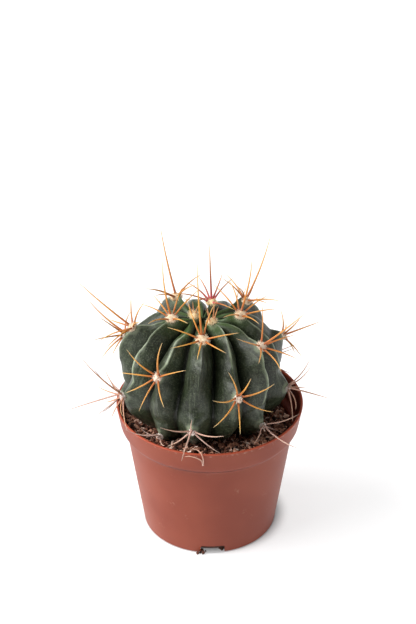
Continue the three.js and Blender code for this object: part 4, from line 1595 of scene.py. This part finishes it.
@dataclass
class SpineRule:
    """Which spines each areole has, as the part's source rules it, each turned until it is clear."""

    stem: Stem
    soil: Soil
    pot: Pot
    root_offset: float = -1.4
    root_spread: float = 0.3
    socket_height: float = 0.6
    spine_radius: float = 0.58
    spine_length: float = 20.0
    spine_lean: float = 26.0
    spine_bend: float = 0.12
    lower_shorter: float = 2.5
    central_radius: float = 0.68
    central_length: float = 28.0
    central_lean: float = 76.0
    central_bend: float = 0.03
    young_radius: float = 0.46
    young_length: float = 8.0
    young_lean: float = 68.0
    young_age: int = -5
    gap: float = 0.3
    clearance: float = 0.75
    bound_length: float = 4.5
    pad_radius: float = 1.8
    pad_rise: float = 0.5
    turn_step: int = 4
    turn_limit: int = 40
    least_lean: float = 15.0
    most_lean: float = 88.0
    samples: int = 24

    def line(self, areole: Areole, spine: Spine, count: int) -> np.ndarray:
        """Points of a spine's centre line: root + s L heading - s^2 bend L out, for s from 0 to 1.

        Args:
            areole: the areole that it stands in.
            spine: the spine.
            count: how many stretches the line has.

        Returns:
            count + 1 points.
        """
        clock, lean = math.radians(spine.clock), math.radians(spine.lean)
        along = areole.up * math.cos(clock) + areole.right * math.sin(clock)
        root = areole.centre + areole.up * self.root_offset + areole.out * self.socket_height
        root = root + along * self.root_spread * math.cos(lean)
        heading = along * math.cos(lean) + areole.out * math.sin(lean)
        s = np.linspace(0, 1, count + 1)[:, None]
        return root + heading * s * spine.length - areole.out * s * s * spine.bend * spine.length

    def planned(self, areole: Areole) -> list[Spine]:
        """The spines that an areole should have, before any is turned aside.

        A listed areole has those that are listed; another has a central one and all but one of the even
        turns. The radial ones that point down are the shorter ones.

        Args:
            areole: the areole.

        Returns:
            Its spines, the central one first.
        """
        draw = SeededDraw(7 + 100 * (areole.age + 8))
        young = areole.age <= self.young_age
        spines = []
        if areole.facing and areole.facing.central:
            spines.append(Spine(*areole.facing.central, self.central_bend, self.central_radius))
        elif not areole.facing and not young:
            clock = draw.vary(15)
            lean = self.central_lean + draw.vary(6)
            length = self.central_length + draw.vary(3)
            spines.append(Spine(clock, lean, length, self.central_bend, self.central_radius))
        evenly = [0, 90, 180, -90] if young else [0, 52, 98, 140, 180, -140, -98, -52]
        spare = int(draw.next() * len(evenly))
        if areole.facing:
            clocks = list(areole.facing.radials)
        else:
            clocks = [clock + draw.vary(9) for i, clock in enumerate(evenly) if i != spare]
        radius = self.young_radius if young else self.spine_radius
        for clock in clocks:
            below = 1 - math.cos(math.radians(clock))
            full = self.young_length if young else self.spine_length - self.lower_shorter * below
            length = full + draw.vary(1.5)
            lean = (self.young_lean if young else self.spine_lean) + draw.vary(4)
            spines.append(Spine(clock, lean, length, self.spine_bend, radius))
        return spines

    def is_clear(self, areole: Areole, line: np.ndarray, spine: Spine, placed: list) -> bool:
        """Whether a spine keeps clear of the stem, the soil, the pot and what other areoles hold.

        The stem, the soil and the pot are compared with the spine beyond the length at which it is bound.

        Args:
            areole: the areole that the spine stands in.
            line: points of its centre line.
            spine: the spine.
            placed: (age, radius, points) of all that stands already.

        Returns:
            True if it does.
        """
        reach = spine.radius + self.clearance
        free = line[math.ceil(self.bound_length / spine.length * self.samples):]
        if (self.stem.height_over(free) < spine.radius + self.gap).any():
            return False
        ground = self.soil.level(free[:, 0], free[:, 1]) + self.soil.lump_height + reach
        if (free[:, 2] < ground).any():
            return False
        radius = np.hypot(free[:, 0], free[:, 1])
        inside = float(self.pot.inside_radius(np.array(self.pot.height)))
        at_wall = (radius > inside - reach) & (radius < self.pot.lip_radius + reach)
        if (at_wall & (free[:, 2] < self.pot.height + reach)).any():
            return False
        for age, other_radius, points in placed:
            if age == areole.age:
                continue
            distance = np.linalg.norm(line[:, None] - points[None], axis=-1).min()
            if distance < reach + other_radius:
                return False
        return True

    def cleared(self, areole: Areole, spine: Spine, placed: list) -> Optional[tuple[Spine, np.ndarray]]:
        """The spine turned and raised by small steps until it is clear of the rest.

        Args:
            areole: the areole that it stands in.
            spine: the spine as planned.
            placed: (age, radius, points) of all that stands already.

        Returns:
            The spine as it can stand and its centre line, or None if it can't.
        """
        moves = [(0.0, 0.0)]
        for size in range(self.turn_step, self.turn_limit + 1, self.turn_step):
            moves += [(0, size), (size, 0), (-size, 0), (size, size), (-size, size), (0, -size / 2)]
        for turn, lift in moves:
            lean = min(max(spine.lean + lift, self.least_lean), self.most_lean)
            turned = replace(spine, clock=spine.clock + turn, lean=lean)
            line = self.line(areole, turned, self.samples)
            if self.is_clear(areole, line, turned, placed):
                return turned, line
        return None

    def place(self) -> None:
        """Gives every areole its spines, the listed ones first, round the wool that stands already."""
        areoles = self.stem.areoles
        placed = []
        for areole in areoles:
            middle = areole.centre + areole.out * self.pad_rise
            placed.append((areole.age, self.pad_radius, middle[None]))
        for areole in sorted(areoles, key=lambda each: each.facing is None):
            for planned in self.planned(areole):
                found = self.cleared(areole, planned, placed)
                if found:
                    areole.spines.append(found[0])
                    placed.append((areole.age, found[0].radius, found[1]))


@dataclass
class SpineBunch:
    """The spines of one areole, each a curved tube that thins to a fine tip.

    The trims are (the areole's age, the spine's place in its bunch, the share of its length that is left),
    and the browner bunches (age, more shade).
    """

    areole: Areole
    rule: SpineRule
    joints: int = 15
    sides: int = 7
    slimmer: float = 0.74
    oldest_slimmer: float = 0.64
    oldest_from: int = 10
    trims: tuple[tuple[int, int, float], ...] = ((13, 6, 0.66), (13, 4, 0.8))
    browner: tuple[tuple[int, float], ...] = ((3, 0.45),)
    ring: float = 1.5
    ring_rise: float = 1.2
    bow: float = 0.032
    taper: float = 0.62
    root_swelling: float = 0.15
    seed: int = 500

    def shape(self) -> Shape:
        """All its tubes.

        A tube follows the rule's line from its tip inwards, and towards its root it moves out to the pad's
        edge. It bows by 4 s (1 - s) of a small share of its length, away from the skin and to one side. The
        radius is (1 - s)^taper of the full one, and a little more at the root.

        Returns:
            The shape, with the values "along", "reach" and "shade".
        """
        areole = self.areole
        rng = np.random.default_rng(self.seed + areole.number)
        lines, radii = [], []
        s = np.linspace(0, 1, self.joints + 1)
        near = (1 - s[:, None]) ** 2
        trims = {spot: share for age, spot, share in self.trims if age == areole.age}
        slimmer = self.slimmer if areole.age < self.oldest_from else self.oldest_slimmer
        for spot, full in enumerate(areole.spines):
            spine = replace(full, length=full.length * trims.get(spot, 1.0))
            clock, lean = math.radians(spine.clock), math.radians(spine.lean)
            along = areole.up * math.cos(clock) + areole.right * math.sin(clock)
            aside = areole.right * math.cos(clock) - areole.up * math.sin(clock)
            sideways = rng.uniform(-1, 1) * self.bow
            outward = rng.uniform(0.2, 1) * self.bow
            arch = (4 * s * (1 - s))[:, None] * spine.length * (aside * sideways + areole.out * outward)
            start = areole.up * self.ring_rise + along * self.ring * math.sqrt(math.cos(lean))
            lines.append(self.rule.line(areole, spine, self.joints) + near * start + arch)
            swelling = 1 + self.root_swelling * np.exp(-((s * spine.length / 1.5) ** 2))
            radii.append(slimmer * spine.radius * swelling * (1 - s) ** self.taper)
        shape = tubes(np.array(lines), np.array(radii), self.sides)
        per_spine = len(shape.points) // len(lines)
        lengths = np.repeat([spine.length for spine in areole.spines], per_spine)
        shape.values["reach"] = shape.values["along"] * lengths
        young = areole.age <= self.rule.young_age
        worn = 1.0 if young else float(smoothstep(np.array(areole.age), 8, 14))
        worn += dict(self.browner).get(areole.age, 0.0)
        shape.values["shade"] = np.repeat(worn * 0.7 + 0.3 * rng.random(len(lines)), per_spine)
        return shape

    def build(self, material: bpy.types.Material) -> bpy.types.Object:
        """Makes the bunch, dresses it and hides the source's spines that it stands for.

        Args:
            material: its finish.

        Returns:
            The bunch.
        """
        number = f"{self.areole.number:02d}"
        bunch = self.shape().piece(f"spine_bunch_{number}", material)
        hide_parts(f"spines_{number}")
        f"spine_{self.areole.stage.value}"
        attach(bunch, BODY)
        return bunch


@dataclass
class WoolPad:
    """The felted pad of one areole: a lumpy oval cushion with hairs standing out of it.

    Its widths, lengths, heights and fuzz hold for the listed ages. The sunk ones are (age, millimetres).
    """

    areole: Areole
    ages: tuple[float, ...] = (-8, -5, -3, 0, 3, 8, 13)
    widths: tuple[float, ...] = (5.0, 4.6, 5.4, 5.3, 4.0, 3.6, 3.0)
    lengths: tuple[float, ...] = (3.6, 3.0, 4.6, 5.2, 4.3, 3.8, 3.0)
    heights: tuple[float, ...] = (1.9, 1.4, 1.5, 1.6, 1.4, 1.3, 1.1)
    fuzz: tuple[float, ...] = (1.4, 1.2, 1.2, 1.2, 1.0, 0.8, 0.6)
    sunk: tuple[tuple[int, float], ...] = ((-4, 0.5), (-1, 0.5), (1, 0.4))
    rows: int = 9
    columns: int = 22
    dent: float = 0.13
    hairs: int = 260
    hair_radius: float = 0.075
    hair_joints: int = 5
    hair_curl: float = 0.4
    seed: int = 900
    ripple_seed: int = 60

    def read(self, row: Sequence[float]) -> float:
        """A listed size at the areole's age."""
        return float(np.interp(self.areole.age, self.ages, row))

    def fuzz_over(self, size: np.ndarray, basis: np.ndarray, centre: np.ndarray) -> Shape:
        """The hairs: each starts just inside the cushion and follows root + s r way + s^2 curl.

        Most stand on its upper half, and each heads outward, turned aside at random.

        Args:
            size: the cushion's half sizes.
            basis: the areole's directions right, up and out, in rows.
            centre: the cushion's middle.

        Returns:
            All hairs as one shape.
        """
        rng = np.random.default_rng(self.seed + self.areole.number)
        heading = unit(rng.normal(size=(self.hairs, 3)) * [1, 1, 0.6] + [0, 0, 0.55])
        root = heading * size * 0.93 @ basis + centre
        wild = unit(heading + 0.5 * rng.normal(size=(self.hairs, 3)))
        curl = unit(np.cross(wild, rng.normal(size=(self.hairs, 3)))) @ basis
        reach = (self.read(self.fuzz) * (0.5 + 0.7 * rng.random(self.hairs)))[:, None, None]
        s = np.linspace(0, 1, self.hair_joints)[None, :, None]
        way = (wild @ basis)[:, None]
        lines = root[:, None] + way * s * reach + curl[:, None] * s ** 2 * self.hair_curl * reach
        radii = self.hair_radius * (1 - s[..., 0]) ** 0.5 * np.ones((self.hairs, 1))
        return tubes(lines, radii, 3)

    def shape(self) -> Shape:
        """The cushion, p = (a sin t sin u, -b sin t cos u, h cos t), dented by ripples, and its hairs.

        Returns:
            The shape, with the values "along" and "aged".
        """
        areole = self.areole
        size = np.array([self.read(self.widths) / 2, self.read(self.lengths) / 2, self.read(self.heights)])
        basis = np.stack([areole.right, areole.up, areole.out])
        seat = dict(self.sunk).get(areole.age, 0.0)
        centre = areole.centre - areole.up * 0.2 + areole.out * (0.1 - seat)
        top = areole.out * size[2]
        ball = ball_rings(self.rows, self.columns)
        dents = 1 + self.dent * Ripples(self.ripple_seed + areole.number, 0.5, 1.4).height(ball)
        rings = (ball * dents[..., None] * size) @ basis + centre
        cushion = closed_surface(rings, centre + top, centre - top)
        cushion.values = {"along": np.full(len(cushion.points), 0.35)}
        felted = cushion.joined(self.fuzz_over(size, basis, centre))
        aged = float(smoothstep(np.array(areole.age), 0, 5))
        felted.values["aged"] = np.full(len(felted.points), aged)
        return felted

    def build(self, material: bpy.types.Material) -> bpy.types.Object:
        """Makes the pad, dresses it and hides the source's wool that it stands for.

        Args:
            material: its finish.

        Returns:
            The pad.
        """
        number = f"{self.areole.number:02d}"
        pad = self.shape().piece(f"wool_pad_{number}", material)
        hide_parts(f"wool_{number}")
        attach(pad, BODY)
        return pad


@dataclass
class DriedTuft:
    """A fallen cluster of two dry spines, caught over the lip: its knob hangs outside, its tips lie above.

    Each point is (azimuth, distance from the pot's axis, height), set against the photo.
    """

    over_lip: tuple[tuple[float, float, float], ...] = (
        (-4.0, 42.3, 58.6), (-3.7, 42.8, 60.8), (-4.1, 43.2, 63.2), (-5.3, 42.3, 64.8),
        (-7.6, 40.6, 64.9), (-10.6, 39.4, 64.3), (-13.1, 38.6, 63.2))
    beside_lip: tuple[tuple[float, float, float], ...] = (
        (-4.0, 42.3, 58.8), (-4.6, 42.6, 60.5), (-5.9, 42.9, 61.7), (-8.3, 43.0, 62.6),
        (-10.8, 43.1, 63.0), (-12.7, 43.1, 62.9), (-15.0, 43.0, 62.4))
    radius: float = 0.30
    length: float = 11.0
    worn: float = 0.7
    knob: tuple[float, float, float] = (0.55, 0.5, 0.7)

    def shape(self) -> Shape:
        """Two tubes along smooth curves through the points, and the knob that they share.

        Each curve is a polynomial of the fifth degree in s, fitted to the points.

        Returns:
            The shape, with the values "along", "reach" and "shade".
        """
        s = np.linspace(0, 1, 25)
        lines = []
        for way in (self.over_lip, self.beside_lip):
            turn, reach, height = np.array(way).T
            stops = np.linspace(0, 1, len(way))
            corners = around(reach, np.radians(turn), height).T
            smooth = [np.polynomial.Polynomial.fit(stops, row, 5)(s) for row in corners]
            lines.append(np.stack(smooth, axis=-1))
        radii = np.array([self.radius * (1 - s) ** 0.5] * 2)
        shape = tubes(np.array(lines), radii, 7)
        shape.values["reach"] = shape.values["along"] * self.length
        shape.values["shade"] = np.full(len(shape.points), self.worn)
        knob = lumps(lines[0][:1], np.array([self.knob]), np.random.default_rng(77))
        ones = np.ones(len(knob.points))
        knob.values = {"along": 0.1 * ones, "reach": ones, "shade": 0.8 * ones}
        return shape.joined(knob)

    def build(self, material: bpy.types.Material) -> bpy.types.Object:
        """Makes and dresses the tuft, which stands for no part of the source.

        Args:
            material: the finish of old spines.

        Returns:
            The tuft.
        """
        tuft = self.shape().piece("dried_tuft", material)
        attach(tuft, BODY)
        return tuft


# Studio


@dataclass
class Studio:
    """The camera at the photograph's angle, a plain pale floor and soft light from the upper left.

    Its places and lengths are in metres, but the lens and the film in millimetres. Each light is (azimuth,
    elevation, spread, strength).
    """

    lens: float = 85.0
    film: float = 36.0
    target: tuple[float, float, float] = (-0.00078, 0.0, 0.11034)
    elevation: float = 30.69
    distance: float = 0.64706
    floor_size: float = 4.0
    floor_rows: int = 60
    floor_columns: int = 96
    flat_share: float = 0.6
    sweep: float = 1.2
    surroundings: float = 0.12
    side: tuple[float, float, float, float] = (-82.0, 32.0, 54.0, 4.6)
    top: tuple[float, float, float, float] = (-100.0, 70.0, 70.0, 1.1)

    def camera(self) -> bpy.types.Object:
        """Places the camera on its line through the target.

        Returns:
            The camera.
        """
        data = bpy.data.cameras.new("camera")
        data.lens = self.lens
        data.sensor_fit = "AUTO"
        data.sensor_width = self.film
        camera = bpy.data.objects.new("camera", data)
        bpy.context.scene.collection.objects.link(camera)
        slope = math.radians(self.elevation)
        back = Vector((0, -math.cos(slope), math.sin(slope)))
        camera.location = Vector(self.target) + back * self.distance
        camera.rotation_euler = (-back).to_track_quat("-Z", "Y").to_euler()
        bpy.context.scene.camera = camera
        return camera

    def floor_finish(self) -> bpy.types.Material:
        """Pale grey that glows, so that it stays white behind the object.

        The glow fades under the pot, round a middle that lies a little to its right, as a painted shadow,
        and more inside its foot and in a thin ring under the foot's edge, a painted contact shadow. It fades
        far away as well.

        Returns:
            The material.
        """
        shader = Shader("studio_floor")
        away = shader.distance()
        # Painted shadow: a thin ring under the foot's edge, more inside the foot, and a fade under the pot
        contact_shadow_ring = away.between(29.9, 30.4) * away.between(31.5, 31.0)
        inside = away.between(31.2, 29.5)
        near = shader.distance(4, 1).between(24, 34.5) * (1 - 0.4 * contact_shadow_ring) * (1 - 0.45 * inside)
        glow = near * (0.72 - 0.46 * away.between(700, 1700))
        varying = {
            "Base Color": "#b4b4b5",
            "Roughness": 0.8,
            "Emission Color": shader.mix(glow, "#000000", "#ffffff"),
        }
        return shader.finish(varying, {"Specular IOR Level": 0.1, "Emission Strength": 1.0})

    def floor(self) -> bpy.types.Object:
        """The floor, a hair below the pot: a wide pale disc whose rim sweeps up all round.

        Its height is 0 to the sweep's start, then that of a quarter circle.

        Returns:
            The floor.
        """
        share = np.linspace(0, 1, self.floor_rows)[1:, None]
        flat = np.minimum(share / self.flat_share, 1) ** 2 * (self.floor_size - self.sweep)
        bend = np.clip((share - self.flat_share) / (1 - self.flat_share), 0, 1) * np.pi / 2
        radius = flat + self.sweep * np.sin(bend)
        height = self.sweep * (1 - np.cos(bend)) - 0.05 * MM
        rings = around(radius, full_turn(self.floor_columns), height) / MM
        shape = closed_surface(rings, np.array([0, 0, -0.05]), rings[-1, 0])
        shape.triangles = shape.triangles[:self.floor_columns]
        floor = shape.piece("studio_floor", self.floor_finish())
        return floor

    def sun(self, name: str, azimuth: float, elevation: float, spread: float, strength: float) -> None:
        """Adds a far light as broad as a window.

        Args:
            name: its name.
            azimuth: the side that it shines from.
            elevation: its height over the floor, in degrees.
            spread: how broad it looks, in degrees.
            strength: its power on a square metre that faces it.
        """
        data = bpy.data.lights.new(name, "SUN")
        data.energy = strength
        data.angle = math.radians(spread)
        light = bpy.data.objects.new(name, data)
        turn, slope = math.radians(azimuth), math.radians(elevation)
        reach = math.cos(slope)
        source = Vector((reach * math.sin(turn), -reach * math.cos(turn), math.sin(slope)))
        light.location = source
        light.rotation_euler = (-source).to_track_quat("-Z", "Y").to_euler()
        bpy.context.scene.collection.objects.link(light)

    def build(self) -> None:
        """Sets camera, floor, surroundings and lights."""
        self.camera()
        self.floor()
        scene = bpy.context.scene
        scene.view_settings.view_transform = "Standard"
        world = bpy.data.worlds.new("studio")
        world.use_nodes = True
        background = world.node_tree.nodes["Background"]
        background.inputs["Color"].default_value = linear("#ffffff")
        background.inputs["Strength"].default_value = self.surroundings
        scene.world = world
        self.sun("side_light", *self.side)
        self.sun("top_light", *self.top)


def main() -> None:
    """Builds the studio, the pot, the stem, the soil, and the areoles' wool and spines, in that order."""
    logging.basicConfig(level=logging.INFO, format="%(name)s: %(message)s")
    Studio().build()
    pot, stem, soil = Pot(), Stem(), Soil()
    rule = SpineRule(stem, soil, pot)
    rule.place()
    made = [pot.build(), stem.build(), *soil.build(stem, pot)]
    wools = {stage: finish.material() for stage, finish in WOOLS.items()}
    horns = {stage: finish.material() for stage, finish in HORNS.items()}
    for areole in stem.areoles:
        made.append(WoolPad(areole).build(wools[areole.stage]))
        made.append(SpineBunch(areole, rule).build(horns[areole.stage]))
    made.append(DriedTuft().build(horns[Stage.OLD]))
    for piece in made:
        log.info("%s: %d faces", piece.name, len(piece.data.polygons))


if __name__ == "__main__":
    main()
